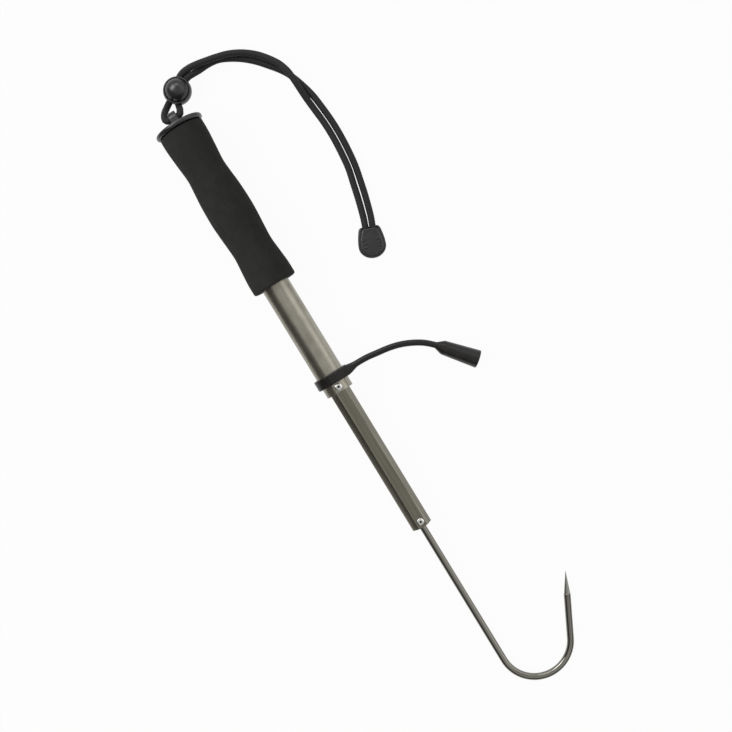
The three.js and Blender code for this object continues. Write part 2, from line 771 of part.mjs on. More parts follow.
// A stretch of cord through points on the ground, its two ends drawn back so that stretches don't touch
function cord(route, steps) {
  const points = route.map((point) => new THREE.Vector3(...point));
  const extrudePath = new THREE.CatmullRomCurve3(points, false, 'centripetal');
  return new THREE.ExtrudeGeometry(roundSection(cordRadius, cordSides), { steps, extrudePath });
}

// The clip's outline, drawn with its mouth towards -X and drawn in by an inset
function clipOutline(inset) {
  const start = -clipLength / 2 + inset;
  const end = clipLength / 2 - inset;
  const topHalf = clipTopWidth / 2 - inset;
  const wideHalf = clipWidth / 2 - inset;
  const corner = clipTopCornerRadius;
  const widest = clipLength * (clipWidestShare - 0.5);
  const shoulder = start + corner;
  const shoulderHalf = topHalf + corner * clipShoulderShare;
  const swell = THREE.MathUtils.lerp(shoulder, widest, clipSwellShare);
  const shape = new THREE.Shape();
  shape.moveTo(start, topHalf - corner);
  shape.lineTo(start, corner - topHalf);
  shape.quadraticCurveTo(start, -topHalf, shoulder, -shoulderHalf);
  shape.bezierCurveTo(swell, -wideHalf, widest / 2, -wideHalf, widest, -wideHalf);
  shape.absellipse(widest, 0, end - widest, wideHalf, -Math.PI / 2, Math.PI / 2, false, 0);
  shape.bezierCurveTo(widest / 2, wideHalf, swell, wideHalf, shoulder, shoulderHalf);
  shape.quadraticCurveTo(start, topHalf, start, topHalf - corner);
  return shape;
}

// A plate of the clip with rounded upper and lower edges, from height zero
function clipPlate(inset, thickness) {
  const depth = thickness - 2 * clipEdgeRadius;
  return new THREE.ExtrudeGeometry(clipOutline(inset), {
    depth,
    bevelSize: clipEdgeRadius,
    bevelOffset: -clipEdgeRadius,
    bevelThickness: clipEdgeRadius,
    bevelSegments: 2,
    curveSegments: 6,
  }).translate(0, 0, clipEdgeRadius);
}

// The hollow for the cord's ends and the knot, shared by the base and the lid, with the strands' mouth
function clipHollow() {
  const parting = clipBaseThickness + seatGap / 2;
  const pocketLength = clipLength * clipPocketShare;
  const pocketWidth = clipMouthWidth;
  const pocket = new THREE.BoxGeometry(pocketLength, pocketWidth, clipMouthHeight)
    .translate(0, 0, parting);
  const mouthLength = clipLength / 2 + cutOverrun;
  const passage = new THREE.BoxGeometry(mouthLength, clipMouthWidth, clipMouthHeight)
    .translate(-mouthLength / 2, 0, parting);
  return joined(pocket, passage);
}

function clipBase() {
  return cut(clipPlate(0, clipBaseThickness), clipHollow());
}

// The lid carries short grip ridges on both sides
function clipLid() {
  const ridges = [];
  for (const side of [-1, 1]) {
    for (let row = 0; row < clipRidgeCount; row += 1) {
      const x = row * clipRidgePitch - clipRidgePitch / 2;
      const y = side * (clipWidth / 2 - clipLidInset - clipEdgeRadius - clipRidgeLength / 2);
      ridges.push(new THREE.BoxGeometry(clipRidgeWidth, clipRidgeLength, 2 * clipRidgeHeight)
        .translate(x, y, clipLidThickness));
    }
  }
  const lid = joined(clipPlate(clipLidInset, clipLidThickness), ...ridges);
  return cut(lid, clipHollow().translate(0, 0, -clipBaseThickness - seatGap));
}

function knot() {
  return new THREE.SphereGeometry(1, smallSides, smallSides / 2)
    .scale(knotLength / 2, knotWidth / 2, knotHeight / 2);
}

function build() {
  const gaff = new THREE.Group();
  const shaft = new THREE.Group();
  shaft.rotation.y = shaftLean;
  shaft.position.z = buttHeight;
  gaff.add(shaft);

  // The tubes lie rolled a few degrees, which puts the front rivets beside the middle line
  const rolled = new THREE.Group();
  rolled.rotation.x = -THREE.MathUtils.degToRad(hexTubeRoll);
  shaft.add(rolled);

  mesh('handle_tube', handleTube(), anodised, rolled, [handleTubeStart, 0, 0]);
  mesh('grip', grip(), foam, shaft, [gripStart, 0, 0]);
  mesh('butt_cap', buttCap(), mouldedBlack, shaft);
  mesh('mouth_bush', mouthBush(), bushPlastic, rolled, [mouthBushStart, 0, 0]);
  mesh('hex_tube', hexTube(), anodisedHex, rolled, [hexTubeStart, 0, 0]);
  const hexStopStart = hexTubeStart - seatGap - hexStopLength;
  mesh('hex_stop', hexStop(), bushPlastic, rolled, [hexStopStart, 0, 0]);
  const hexPinLength = hexTubeFlats - 2 * crossPinInset;
  mesh('hex_stop_pin', crossPin(hexPinLength), pinSteel, rolled, [hexStopPinPlace, 0, 0]);
  mesh('hook_bush', hookBush(), bushPlastic, rolled, [hookBushStart, 0, 0]);

  const tubeRivetShank = handleTubeWall + seatGap + rivetBlindDepth / 2;
  const hexRivetShank = hexTubeWall + seatGap + rivetBlindDepth;
  for (const [side, turn] of [['front', 0], ['back', Math.PI]]) {
    const tubeRivet = rivet(tubeRivetShank).translate(0, 0, handleTubeRadius + seatGap).rotateX(turn);
    const hexRivet = rivet(hexRivetShank).translate(0, 0, hexTubeFlats / 2 + seatGap).rotateX(turn);
    mesh(`tube_rivet_${side}`, tubeRivet, rivetAluminium, rolled, [tubeRivetPlace, 0, 0]);
    mesh(`hex_rivet_${side}`, hexRivet, rivetAluminium, rolled, [hexRivetPlace, 0, 0]);
  }

  mesh('hook', hook(), stainless, shaft, [rodStopStart, 0, 0]);
  mesh('rod_stop', rodStop(), bushPlastic, shaft, [rodStopStart, 0, 0]);
  const rodPinLength = hexBoreFlats - 2 * slideGap - 2 * crossPinInset;
  mesh('rod_stop_pin', crossPin(rodPinLength), pinSteel, shaft, [rodStopPinPlace, 0, 0]);
  mesh('tip_guard', tipGuard(), guardRubber, shaft, [guardPlace, 0, 0]);

  const lock = new THREE.Group();
  lock.position.set(...lockPlace, lockFootDepth);
  lock.rotation.z = Math.atan2(lockHoleDirection[1], lockHoleDirection[0]);
  gaff.add(lock);
  mesh('cord_lock_body', lockBody(), mouldedBlack, lock);
  mesh('cord_lock_button', lockButton(), mouldedBlack, lock);
  mesh('cord_lock_spring', lockSpring(), pinSteel, lock);

  const lanyard = new THREE.Group();
  gaff.add(lanyard);
  mesh('lanyard_loop', cord(loopRoute, loopSteps), braid, lanyard);
  mesh('lanyard_strand_left', cord(leftStrandRoute, strandSteps), braid, lanyard);
  mesh('lanyard_strand_right', cord(rightStrandRoute, strandSteps), braid, lanyard);

  const clip = new THREE.Group();
  clip.position.set(...clipPlace, 0);
  clip.rotation.z = Math.atan2(clipDirection[1], clipDirection[0]);
  gaff.add(clip);
  mesh('cord_end_base', clipBase(), mouldedBlack, clip);
  mesh('cord_end_lid', clipLid(), mouldedBlack, clip, [0, 0, clipBaseThickness + seatGap]);
  mesh('lanyard_knot', knot(), braid, clip, [0, 0, clipBaseThickness + seatGap / 2]);

  // The lowest point of the shaft's pieces lies on the ground, below the middle of their footprint's box
  gaff.updateMatrixWorld(true);
  const box = new THREE.Box3().setFromObject(shaft, true);
  const middle = box.getCenter(new THREE.Vector3());
  shaft.position.z -= box.min.z;
  gaff.position.set(-middle.x, -middle.y, 0);
  return gaff;
}

const gaff = build();

export default gaff;
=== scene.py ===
# A telescopic fishing gaff, drawn out and lying on a white table. Metres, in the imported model's frame.
import json
import math

import bpy
import numpy as np
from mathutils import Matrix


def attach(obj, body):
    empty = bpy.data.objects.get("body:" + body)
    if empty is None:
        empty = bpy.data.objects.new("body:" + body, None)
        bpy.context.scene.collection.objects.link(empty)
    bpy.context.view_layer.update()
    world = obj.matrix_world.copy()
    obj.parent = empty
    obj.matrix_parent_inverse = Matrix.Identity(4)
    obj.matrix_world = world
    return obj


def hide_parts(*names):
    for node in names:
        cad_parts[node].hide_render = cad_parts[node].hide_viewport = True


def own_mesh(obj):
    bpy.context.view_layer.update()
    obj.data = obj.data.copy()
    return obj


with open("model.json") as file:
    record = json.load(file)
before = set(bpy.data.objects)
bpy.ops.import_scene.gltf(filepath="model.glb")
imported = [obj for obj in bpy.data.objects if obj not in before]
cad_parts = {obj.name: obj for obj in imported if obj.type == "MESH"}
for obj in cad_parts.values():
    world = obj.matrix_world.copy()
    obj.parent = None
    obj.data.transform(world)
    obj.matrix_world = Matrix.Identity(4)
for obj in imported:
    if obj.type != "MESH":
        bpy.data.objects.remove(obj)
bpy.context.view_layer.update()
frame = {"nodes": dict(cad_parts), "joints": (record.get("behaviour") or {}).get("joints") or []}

mm = 0.001
nearAxis = 0.3 * mm  # where a closed profile starts and ends; a fan of faces closes what is left
tau = 2 * math.pi
skyward = np.array((0.0, 0.0, 1.0))
joints = {joint["name"]: joint for joint in frame["joints"]}
scene = bpy.context.scene
print("stage: frame loaded,", len(frame["nodes"]), "nodes")


# Places. A placer makes a function of (a, p, q): a runs along an axis, p and q lie across it
def placer(origin, axisA, axisP, axisQ):
    def place(a, p, q):
        a, p, q = np.broadcast_arrays(a, p, q)
        return origin + a[..., None] * axisA + p[..., None] * axisP + q[..., None] * axisQ
    return place


shaft = {
    "guardPlace": 252.9 * mm,  # the guard ring's middle, from the butt face
    "roll": math.radians(5),  # the tubes lie rolled this much
}
along = np.array(joints["guard_turn"]["axis"], float)
across = np.array((0.0, 1.0, 0.0))
upward = np.cross(along, across)
buttFace = np.array(joints["guard_turn"]["pos_m"]) - shaft["guardPlace"] * along
ground = buttFace * (1, 1, 0)  # the cord's route, the lock and the clip are measured from here
rollCos, rollSin = math.cos(shaft["roll"]), math.sin(shaft["roll"])
onShaft = placer(buttFace, along, across, upward)
onTubes = placer(buttFace, along, across * rollCos - upward * rollSin, across * rollSin + upward * rollCos)


def unit(vectors):
    return vectors / np.linalg.norm(vectors, axis=-1, keepdims=True)


# Camera, straight above, turned as in the photograph
camera = {"place": (-0.02225, -0.02018, 1.0), "turn": 58.68, "lens": 56.08, "sensor": 36}
lensData = bpy.data.cameras.new("camera")
lensData.lens = camera["lens"]
lensData.sensor_width = camera["sensor"]
cameraObject = bpy.data.objects.new("camera", lensData)
cameraObject.location = camera["place"]
cameraObject.rotation_euler = (0, 0, math.radians(camera["turn"]))
scene.collection.objects.link(cameraObject)
scene.camera = cameraObject


# Nodes and colours
def hexColour(code):
    # sRGB to linear: the straight part below 0.04045, and the 2.4 power above
    channels = np.array([int(code[i:i + 2], 16) for i in (1, 3, 5)]) / 255
    low, high = channels / 12.92, ((channels + 0.055) / 1.055) ** 2.4
    return (*np.where(channels <= 0.04045, low, high).tolist(), 1.0)


def addNode(tree, kind, inputs=None, **settings):
    node = tree.nodes.new(kind)
    for key, value in settings.items():
        setattr(node, key, value)
    for key, value in (inputs or {}).items():
        if isinstance(value, tuple) and isinstance(value[0], bpy.types.Node):
            tree.links.new(value[0].outputs[value[1]], node.inputs[key])
        else:
            node.inputs[key].default_value = value
    return node


def startMaterial(name):
    material = bpy.data.materials.new(name)
    material.use_nodes = True
    material.node_tree.nodes.clear()
    return material, material.node_tree


def endMaterial(tree, surface):
    addNode(tree, "ShaderNodeOutputMaterial", {"Surface": surface})


shaftTurn = (0, math.asin(-along[2]), 0)  # turns a pattern's X axis along the shaft


def roughAndRelief(tree, look, roughBy, reliefBy, span=(0.0, 1.0)):
    # The roughness follows one pattern between its two values, and the relief's height follows another
    rough = addNode(tree, "ShaderNodeMapRange", {
        "Value": (roughBy, 0), "From Min": span[0], "From Max": span[1],
        "To Min": look["rough"][0], "To Max": look["rough"][1],
    })
    relief = addNode(tree, "ShaderNodeBump", {
        "Height": (reliefBy, 0), "Strength": look["relief"], "Distance": look["reliefDepth"] * mm,
    })
    return rough, relief


def shaftPattern(tree, look):
    # Coordinates in line with the shaft, and the same ones stretched to the length and the width of its lines
    place = addNode(tree, "ShaderNodeTexCoord")
    lined = addNode(tree, "ShaderNodeMapping", {
        "Vector": (place, "Object"), "Rotation": shaftTurn,
    }, vector_type="TEXTURE")
    scale = (1000 / look["lineLength"], 1000 / look["lineWidth"], 1000 / look["lineWidth"])
    stretched = addNode(tree, "ShaderNodeVectorMath", {0: (lined, 0), 1: scale}, operation="MULTIPLY")
    return place, lined, stretched


def nicked(tree, place, colour, look):
    # Small pits in a colour of their own, one in each cell of their spacing
    cells = addNode(tree, "ShaderNodeTexVoronoi", {
        "Vector": (place, "Object"), "Scale": 1000 / look["nickSpacing"],
    })
    share = addNode(tree, "ShaderNodeMapRange", {
        "Value": (cells, 0), "From Min": look["nickSize"][0], "From Max": look["nickSize"][1],
        "To Min": look["nickStrength"], "To Max": 0.0,
    })
    return addNode(tree, "ShaderNodeMix", {
        0: (share, 0), 6: (colour, 2), 7: hexColour(look["nick"]),
    }, data_type="RGBA")


def makeDrawnTube():
    # Aluminium tube, cold drawn and anodised champagne: satin, with fine lines along it and a hard clear oxide
    look = {
        "colour": "#a19e92", "dark": "#8a867a", "cloud": 14, "blend": (0.15, 0.4),
        "nick": "#c9c7bd", "nickSpacing": 5, "nickSize": (0.03, 0.07), "nickStrength": 1.0,
        "lineWidth": 0.7, "lineLength": 70,  # drawn coarser than they are, to show
        "rough": (0.26, 0.38), "relief": 0.25, "reliefDepth": 0.05, "oxide": 0.08, "oxideRough": 0.3,
    }
    material, tree = startMaterial("drawnChampagneAnodisedAluminium")
    place, lined, stretched = shaftPattern(tree, look)
    lines = addNode(tree, "ShaderNodeTexNoise", {"Vector": (stretched, 0), "Scale": 1.0, "Detail": 3.0})
    clouds = addNode(tree, "ShaderNodeTexNoise", {
        "Vector": (lined, 0), "Scale": 1000 / look["cloud"], "Detail": 2.0,
    })
    both = addNode(tree, "ShaderNodeMath", {0: (lines, 0), 1: (clouds, 0)}, operation="MULTIPLY")
    shade = addNode(tree, "ShaderNodeMapRange", {
        "Value": (both, 0), "From Min": look["blend"][0], "From Max": look["blend"][1],
    })
    colour = addNode(tree, "ShaderNodeMix", {
        0: (shade, 0), 6: hexColour(look["dark"]), 7: hexColour(look["colour"]),
    }, data_type="RGBA")
    marked = nicked(tree, place, colour, look)
    rough, relief = roughAndRelief(tree, look, lines, lines)
    metal = addNode(tree, "ShaderNodeBsdfPrincipled", {
        "Base Color": (marked, 2), "Metallic": 1.0, "Roughness": (rough, 0), "Normal": (relief, 0),
        "Coat Weight": look["oxide"], "Coat Roughness": look["oxideRough"],
    })
    endMaterial(tree, (metal, 0))
    return material


def makeExtrudedHexagon():
    # Aluminium extrusion, anodised: flat faces with die lines along them, the corners rubbed bright
    look = {
        "colour": "#797669", "dark": "#676458", "blend": (0.3, 0.7), "worn": "#8f8c80",
        "nick": "#3d3b35", "nickSpacing": 4, "nickSize": (0.04, 0.09), "nickStrength": 0.8,
        "lineWidth": 1.6, "lineLength": 45,  # drawn coarser than they are, to show
        "rough": (0.14, 0.24), "relief": 0.06, "reliefDepth": 0.05, "oxide": 0.05, "oxideRough": 0.2,
    }
    material, tree = startMaterial("extrudedAnodisedAluminium")
    place, _, stretched = shaftPattern(tree, look)
    lines = addNode(tree, "ShaderNodeTexNoise", {"Vector": (stretched, 0), "Scale": 1.0, "Detail": 4.0})
    shade = addNode(tree, "ShaderNodeMapRange", {
        "Value": (lines, 0), "From Min": look["blend"][0], "From Max": look["blend"][1],
    })
    colour = addNode(tree, "ShaderNodeMix", {
        0: (shade, 0), 6: hexColour(look["dark"]), 7: hexColour(look["colour"]),
    }, data_type="RGBA")
    corner = addNode(tree, "ShaderNodeAttribute", attribute_name="corner")
    rubbed = addNode(tree, "ShaderNodeMath", {0: (corner, "Fac"), 1: (shade, 0)}, operation="MULTIPLY")
    worn = addNode(tree, "ShaderNodeMix", {
        0: (rubbed, 0), 6: (colour, 2), 7: hexColour(look["worn"]),
    }, data_type="RGBA")
    marked = nicked(tree, place, worn, look)
    rough, relief = roughAndRelief(tree, look, lines, lines)
    metal = addNode(tree, "ShaderNodeBsdfPrincipled", {
        "Base Color": (marked, 2), "Metallic": 1.0, "Roughness": (rough, 0), "Normal": (relief, 0),
        "Coat Weight": look["oxide"], "Coat Roughness": look["oxideRough"],
    })
    endMaterial(tree, (metal, 0))
    return material


def makeHookSteel():
    # Stainless rod, centreless ground, bent cold: bright satin with fine lines along it, and a point ground round
    look = {
        "colour": "#8c8a82", "dark": "#5c5a53", "blend": (0.35, 0.6), "point": "#94938d",
        "lineWidth": 0.8, "ringWidth": 0.25,  # drawn coarser than they are, to show
        "lineBreaks": 12.0, "ringBreaks": 20.0,  # how often in a metre a line, and a ring, breaks off
        "rough": (0.08, 0.2), "relief": 0.3, "reliefDepth": 0.06,
    }
    material, tree = startMaterial("groundStainlessRod")
    route = addNode(tree, "ShaderNodeUVMap", uv_map="UVMap")  # metres round the rod and along it
    stretched = addNode(tree, "ShaderNodeVectorMath", {
        0: (route, 0), 1: (1000 / look["lineWidth"], look["lineBreaks"], 0.0),
    }, operation="MULTIPLY")
    lines = addNode(tree, "ShaderNodeTexNoise", {"Vector": (stretched, 0), "Scale": 1.0, "Detail": 3.0})
    ground = addNode(tree, "ShaderNodeVectorMath", {
        0: (route, 0), 1: (look["ringBreaks"], 1000 / look["ringWidth"], 0.0),
    }, operation="MULTIPLY")
    rings = addNode(tree, "ShaderNodeTexNoise", {"Vector": (ground, 0), "Scale": 1.0, "Detail": 2.0})
    tip = addNode(tree, "ShaderNodeAttribute", attribute_name="point")
    marks = addNode(tree, "ShaderNodeMix", {0: (tip, "Fac"), 2: (lines, 0), 3: (rings, 0)})
    shade = addNode(tree, "ShaderNodeMapRange", {
        "Value": (marks, 0), "From Min": look["blend"][0], "From Max": look["blend"][1],
    })
    colour = addNode(tree, "ShaderNodeMix", {
        0: (shade, 0), 6: hexColour(look["dark"]), 7: hexColour(look["colour"]),
    }, data_type="RGBA")
    bright = addNode(tree, "ShaderNodeMix", {
        0: (tip, "Fac"), 6: (colour, 2), 7: hexColour(look["point"]),
    }, data_type="RGBA")
    rough, relief = roughAndRelief(tree, look, marks, marks)
    metal = addNode(tree, "ShaderNodeBsdfPrincipled", {
        "Base Color": (bright, 2), "Metallic": 1.0, "Roughness": (rough, 0), "Normal": (relief, 0),
    })
    endMaterial(tree, (metal, 0))
    return material


def makeRivetAluminium():
    # Blind rivet of bright aluminium, cold headed: pale and lightly scratched. Its hole is painted near black, partly
    # for the broken mandrel's steel and partly as painted shade down the hole, with painted contact shadow round the
    # foot of its head
    look = {
        "colour": "#e4e4e0", "dull": "#adada8", "mandrel": "#1d1c1a", "grain": 0.9,
        "rough": (0.14, 0.34), "relief": 0.4, "reliefDepth": 0.12,
    }
    material, tree = startMaterial("coldHeadedAluminium")
    place = addNode(tree, "ShaderNodeTexCoord")
    grain = addNode(tree, "ShaderNodeTexNoise", {
        "Vector": (place, "Object"), "Scale": 1000 / look["grain"], "Detail": 3.0,
    })
    colour = addNode(tree, "ShaderNodeMix", {
        0: (grain, 0), 6: hexColour(look["dull"]), 7: hexColour(look["colour"]),
    }, data_type="RGBA")
    # Painted shade: the hollow attribute mixes in the near black colour, fully in the hole and partly at the foot of
    # the head
    hollow = addNode(tree, "ShaderNodeAttribute", attribute_name="hollow")
    dark = addNode(tree, "ShaderNodeMix", {
        0: (hollow, "Fac"), 6: (colour, 2), 7: hexColour(look["mandrel"]),
    }, data_type="RGBA")
    rough, relief = roughAndRelief(tree, look, grain, grain)
    metal = addNode(tree, "ShaderNodeBsdfPrincipled", {
        "Base Color": (dark, 2), "Metallic": 1.0, "Roughness": (rough, 0), "Normal": (relief, 0),
    })
    endMaterial(tree, (metal, 0))
    return material


def makeFoam():
    # EVA foam, ground to shape: dull black, its open cells fine enough to feel like suede
    look = {
        "colour": "#343432", "dark": "#292928", "blend": (0.2, 0.7), "cell": 0.45, "patch": 9, "fine": 0.2,
        "rough": (0.82, 0.96), "relief": 0.5, "reliefDepth": 0.1,
    }
    material, tree = startMaterial("groundEvaFoam")
    place = addNode(tree, "ShaderNodeTexCoord")
    cells = addNode(tree, "ShaderNodeTexVoronoi", {
        "Vector": (place, "Object"), "Scale": 1000 / look["cell"],
    }, feature="SMOOTH_F1")
    grit = addNode(tree, "ShaderNodeTexNoise", {
        "Vector": (place, "Object"), "Scale": 1000 / look["fine"], "Detail": 2.0,
    })
    patches = addNode(tree, "ShaderNodeTexNoise", {
        "Vector": (place, "Object"), "Scale": 1000 / look["patch"], "Detail": 3.0,
    })
    surface = addNode(tree, "ShaderNodeMath", {0: (cells, 0), 1: (grit, 0)}, operation="ADD")
    mottled = addNode(tree, "ShaderNodeMath", {0: (surface, 0), 1: (patches, 0)}, operation="MULTIPLY")
    shade = addNode(tree, "ShaderNodeMapRange", {
        "Value": (mottled, 0), "From Min": look["blend"][0], "From Max": look["blend"][1],
    })
    colour = addNode(tree, "ShaderNodeMix", {
        0: (shade, 0), 6: hexColour(look["dark"]), 7: hexColour(look["colour"]),
    }, data_type="RGBA")
    rough, relief = roughAndRelief(tree, look, patches, surface)
    foam = addNode(tree, "ShaderNodeBsdfPrincipled", {
        "Base Color": (colour, 2), "Roughness": (rough, 0), "Normal": (relief, 0), "IOR": 1.45,
        "Specular IOR Level": 0.15,
    })
    endMaterial(tree, (foam, 0))
    return material


def makeMouldedNylon():
    # Nylon, injection moulded: glossy black with a faint orange peel and hairline handling marks
    look = {
        "colour": "#1c1c1d", "scuffed": "#2a2a2b", "blend": (0.45, 0.75), "peel": 1.6, "mark": 5,
        "rough": (0.24, 0.38), "roughBlend": (0.3, 0.7), "relief": 0.2, "reliefDepth": 0.05,
    }
    material, tree = startMaterial("mouldedBlackNylon")
    place = addNode(tree, "ShaderNodeTexCoord")
    peel = addNode(tree, "ShaderNodeTexNoise", {
        "Vector": (place, "Object"), "Scale": 1000 / look["peel"], "Detail": 2.0,
    })
    marks = addNode(tree, "ShaderNodeTexNoise", {
        "Vector": (place, "Object"), "Scale": 1000 / look["mark"], "Detail": 6.0, "Roughness": 0.7,
    })
    shade = addNode(tree, "ShaderNodeMapRange", {
        "Value": (marks, 0), "From Min": look["blend"][0], "From Max": look["blend"][1],
    })
    colour = addNode(tree, "ShaderNodeMix", {
        0: (shade, 0), 6: hexColour(look["colour"]), 7: hexColour(look["scuffed"]),
    }, data_type="RGBA")
    rough, relief = roughAndRelief(tree, look, marks, peel, look["roughBlend"])
    plastic = addNode(tree, "ShaderNodeBsdfPrincipled", {
        "Base Color": (colour, 2), "Roughness": (rough, 0), "Normal": (relief, 0), "IOR": 1.53,
    })
    endMaterial(tree, (plastic, 0))
    return material


def makeGuardRubber():
    # Rubber, compression moulded: black and softly glossy, with a dusty bloom in places
    look = {
        "colour": "#1a1817", "bloom": "#262422", "blend": (0.45, 0.7), "grain": 0.5, "patch": 7,
        "rough": (0.24, 0.4), "roughBlend": (0.3, 0.7), "relief": 0.25, "reliefDepth": 0.05,
    }
    material, tree = startMaterial("mouldedBlackRubber")
    place = addNode(tree, "ShaderNodeTexCoord")
    grain = addNode(tree, "ShaderNodeTexNoise", {
        "Vector": (place, "Object"), "Scale": 1000 / look["grain"], "Detail": 3.0,
    })
    patches = addNode(tree, "ShaderNodeTexNoise", {
        "Vector": (place, "Object"), "Scale": 1000 / look["patch"], "Detail": 4.0,
    })
    shade = addNode(tree, "ShaderNodeMapRange", {
        "Value": (patches, 0), "From Min": look["blend"][0], "From Max": look["blend"][1],
    })
    colour = addNode(tree, "ShaderNodeMix", {
        0: (shade, 0), 6: hexColour(look["colour"]), 7: hexColour(look["bloom"]),
    }, data_type="RGBA")
    rough, relief = roughAndRelief(tree, look, patches, grain, look["roughBlend"])
    rubber = addNode(tree, "ShaderNodeBsdfPrincipled", {
        "Base Color": (colour, 2), "Roughness": (rough, 0), "Normal": (relief, 0), "IOR": 1.52,
        "Specular IOR Level": 0.3,
    })
    endMaterial(tree, (rubber, 0))
    return material


def makeBushAcetal():
    # Acetal, turned: matt black with rings of tool marks too fine to show, drawn as a soft grain
    look = {
        "colour": "#232323", "pale": "#313131", "grain": 0.8,
        "rough": (0.4, 0.6), "relief": 0.2, "reliefDepth": 0.04,
    }
    material, tree = startMaterial("turnedBlackAcetal")
    place = addNode(tree, "ShaderNodeTexCoord")
    grain = addNode(tree, "ShaderNodeTexNoise", {
        "Vector": (place, "Object"), "Scale": 1000 / look["grain"], "Detail": 3.0,
    })
    colour = addNode(tree, "ShaderNodeMix", {
        0: (grain, 0), 6: hexColour(look["colour"]), 7: hexColour(look["pale"]),
    }, data_type="RGBA")
    rough, relief = roughAndRelief(tree, look, grain, grain)
    plastic = addNode(tree, "ShaderNodeBsdfPrincipled", {
        "Base Color": (colour, 2), "Roughness": (rough, 0), "Normal": (relief, 0), "IOR": 1.48,
    })
    endMaterial(tree, (plastic, 0))
    return material


def makePinSteel():
    # Steel wire and pins, drawn: grey, half bright, with a trace of oil darkening it in patches
    look = {"colour": "#9a9b9b", "oily": "#6d6c68", "patch": 2.5, "rough": (0.22, 0.45)}
    material, tree = startMaterial("drawnSteelWire")
    place = addNode(tree, "ShaderNodeTexCoord")
    patches = addNode(tree, "ShaderNodeTexNoise", {
        "Vector": (place, "Object"), "Scale": 1000 / look["patch"], "Detail": 4.0,
    })
    colour = addNode(tree, "ShaderNodeMix", {
        0: (patches, 0), 6: hexColour(look["oily"]), 7: hexColour(look["colour"]),
    }, data_type="RGBA")
    rough = addNode(tree, "ShaderNodeMapRange", {
        "Value": (patches, 0), "To Min": look["rough"][0], "To Max": look["rough"][1],
    })
    metal = addNode(tree, "ShaderNodeBsdfPrincipled", {
        "Base Color": (colour, 2), "Metallic": 1.0, "Roughness": (rough, 0),
    })
    endMaterial(tree, (metal, 0))
    return material


def makeBraid():
    # Polyester, braided on sixteen carriers: black yarns with a dull sheen, paler where their crowns are rubbed
    look = {
        "colour": "#111111", "crown": "#2a2a2a", "blend": (0.1, 0.65), "fibre": 9.0,
        "rough": (0.6, 0.8), "relief": 0.4, "reliefDepth": 0.06,
    }
    material, tree = startMaterial("braidedPolyester")
    crown = addNode(tree, "ShaderNodeAttribute", attribute_name="crown")
    fibre = addNode(tree, "ShaderNodeAttribute", attribute_name="fibre")
    threads = addNode(tree, "ShaderNodeTexNoise", {
        "W": (fibre, "Fac"), "Scale": look["fibre"], "Detail": 1.0,
    }, noise_dimensions="1D")
    lit = addNode(tree, "ShaderNodeMath", {0: (crown, "Fac"), 1: (threads, 0)}, operation="MULTIPLY")
    shade = addNode(tree, "ShaderNodeMapRange", {
        "Value": (lit, 0), "From Min": look["blend"][0], "From Max": look["blend"][1],
    })
    colour = addNode(tree, "ShaderNodeMix", {
        0: (shade, 0), 6: hexColour(look["colour"]), 7: hexColour(look["crown"]),
    }, data_type="RGBA")
    rough, relief = roughAndRelief(tree, look, threads, threads)
    yarn = addNode(tree, "ShaderNodeBsdfPrincipled", {
        "Base Color": (colour, 2), "Roughness": (rough, 0), "Normal": (relief, 0), "IOR": 1.5,
        "Specular IOR Level": 0.3, "Sheen Weight": 0.05, "Sheen Roughness": 0.4,
    })
    endMaterial(tree, (yarn, 0))
    return material


drawnTube = makeDrawnTube()
extrudedHexagon = makeExtrudedHexagon()
hookSteel = makeHookSteel()
rivetAluminium = makeRivetAluminium()
foam = makeFoam()
mouldedNylon = makeMouldedNylon()
guardRubber = makeGuardRubber()
bushAcetal = makeBushAcetal()
pinSteel = makePinSteel()
braid = makeBraid()
print("stage: materials")


# Surfaces
def closedGrid(rows, ring=False, size=(1, 1)):
    # Rows of points, each closed round; a ring joins the last row to the first, else both ends run to a middle point
    rowCount, columnCount = rows.shape[:2]
    i = np.arange(rowCount if ring else rowCount - 1)[:, None]
    j = np.arange(columnCount)[None, :]
    corners = []
    marks = []
    for down, on in ((0, 0), (1, 0), (1, 1), (0, 1)):
        corners.append(((i + down) % rowCount) * columnCount + (j + on) % columnCount)
        marks.append(np.stack(np.broadcast_arrays((j + on) * size[0] / columnCount,
                                                  (i + down) * size[1] / (rowCount - 1)), -1))
    quads = np.stack(corners, -1).reshape(-1, 4)
    quadMarks = np.stack(marks, -2).reshape(-1, 4, 2)
    points = rows.reshape(-1, 3)
    if ring:
        return points, quads, np.zeros((0, 3), int), quadMarks, np.zeros((0, 3, 2))
    first, last = len(points), len(points) + 1
    points = np.vstack((points, rows[0].mean(0), rows[-1].mean(0)))
    here, beside = np.arange(columnCount), (np.arange(columnCount) + 1) % columnCount
    end = (rowCount - 1) * columnCount
    startFan = np.stack((np.full(columnCount, first), here, beside), -1)
    endFan = np.stack((np.full(columnCount, last), end + beside, end + here), -1)
    share = here * size[0] / columnCount
    fanMarks = np.zeros((2, columnCount, 3, 2))
    fanMarks[..., 0] = share[:, None]
    fanMarks[1, ..., 1] = size[1]
    return points, quads, np.vstack((startFan, endFan)), quadMarks, fanMarks.reshape(-1, 3, 2)


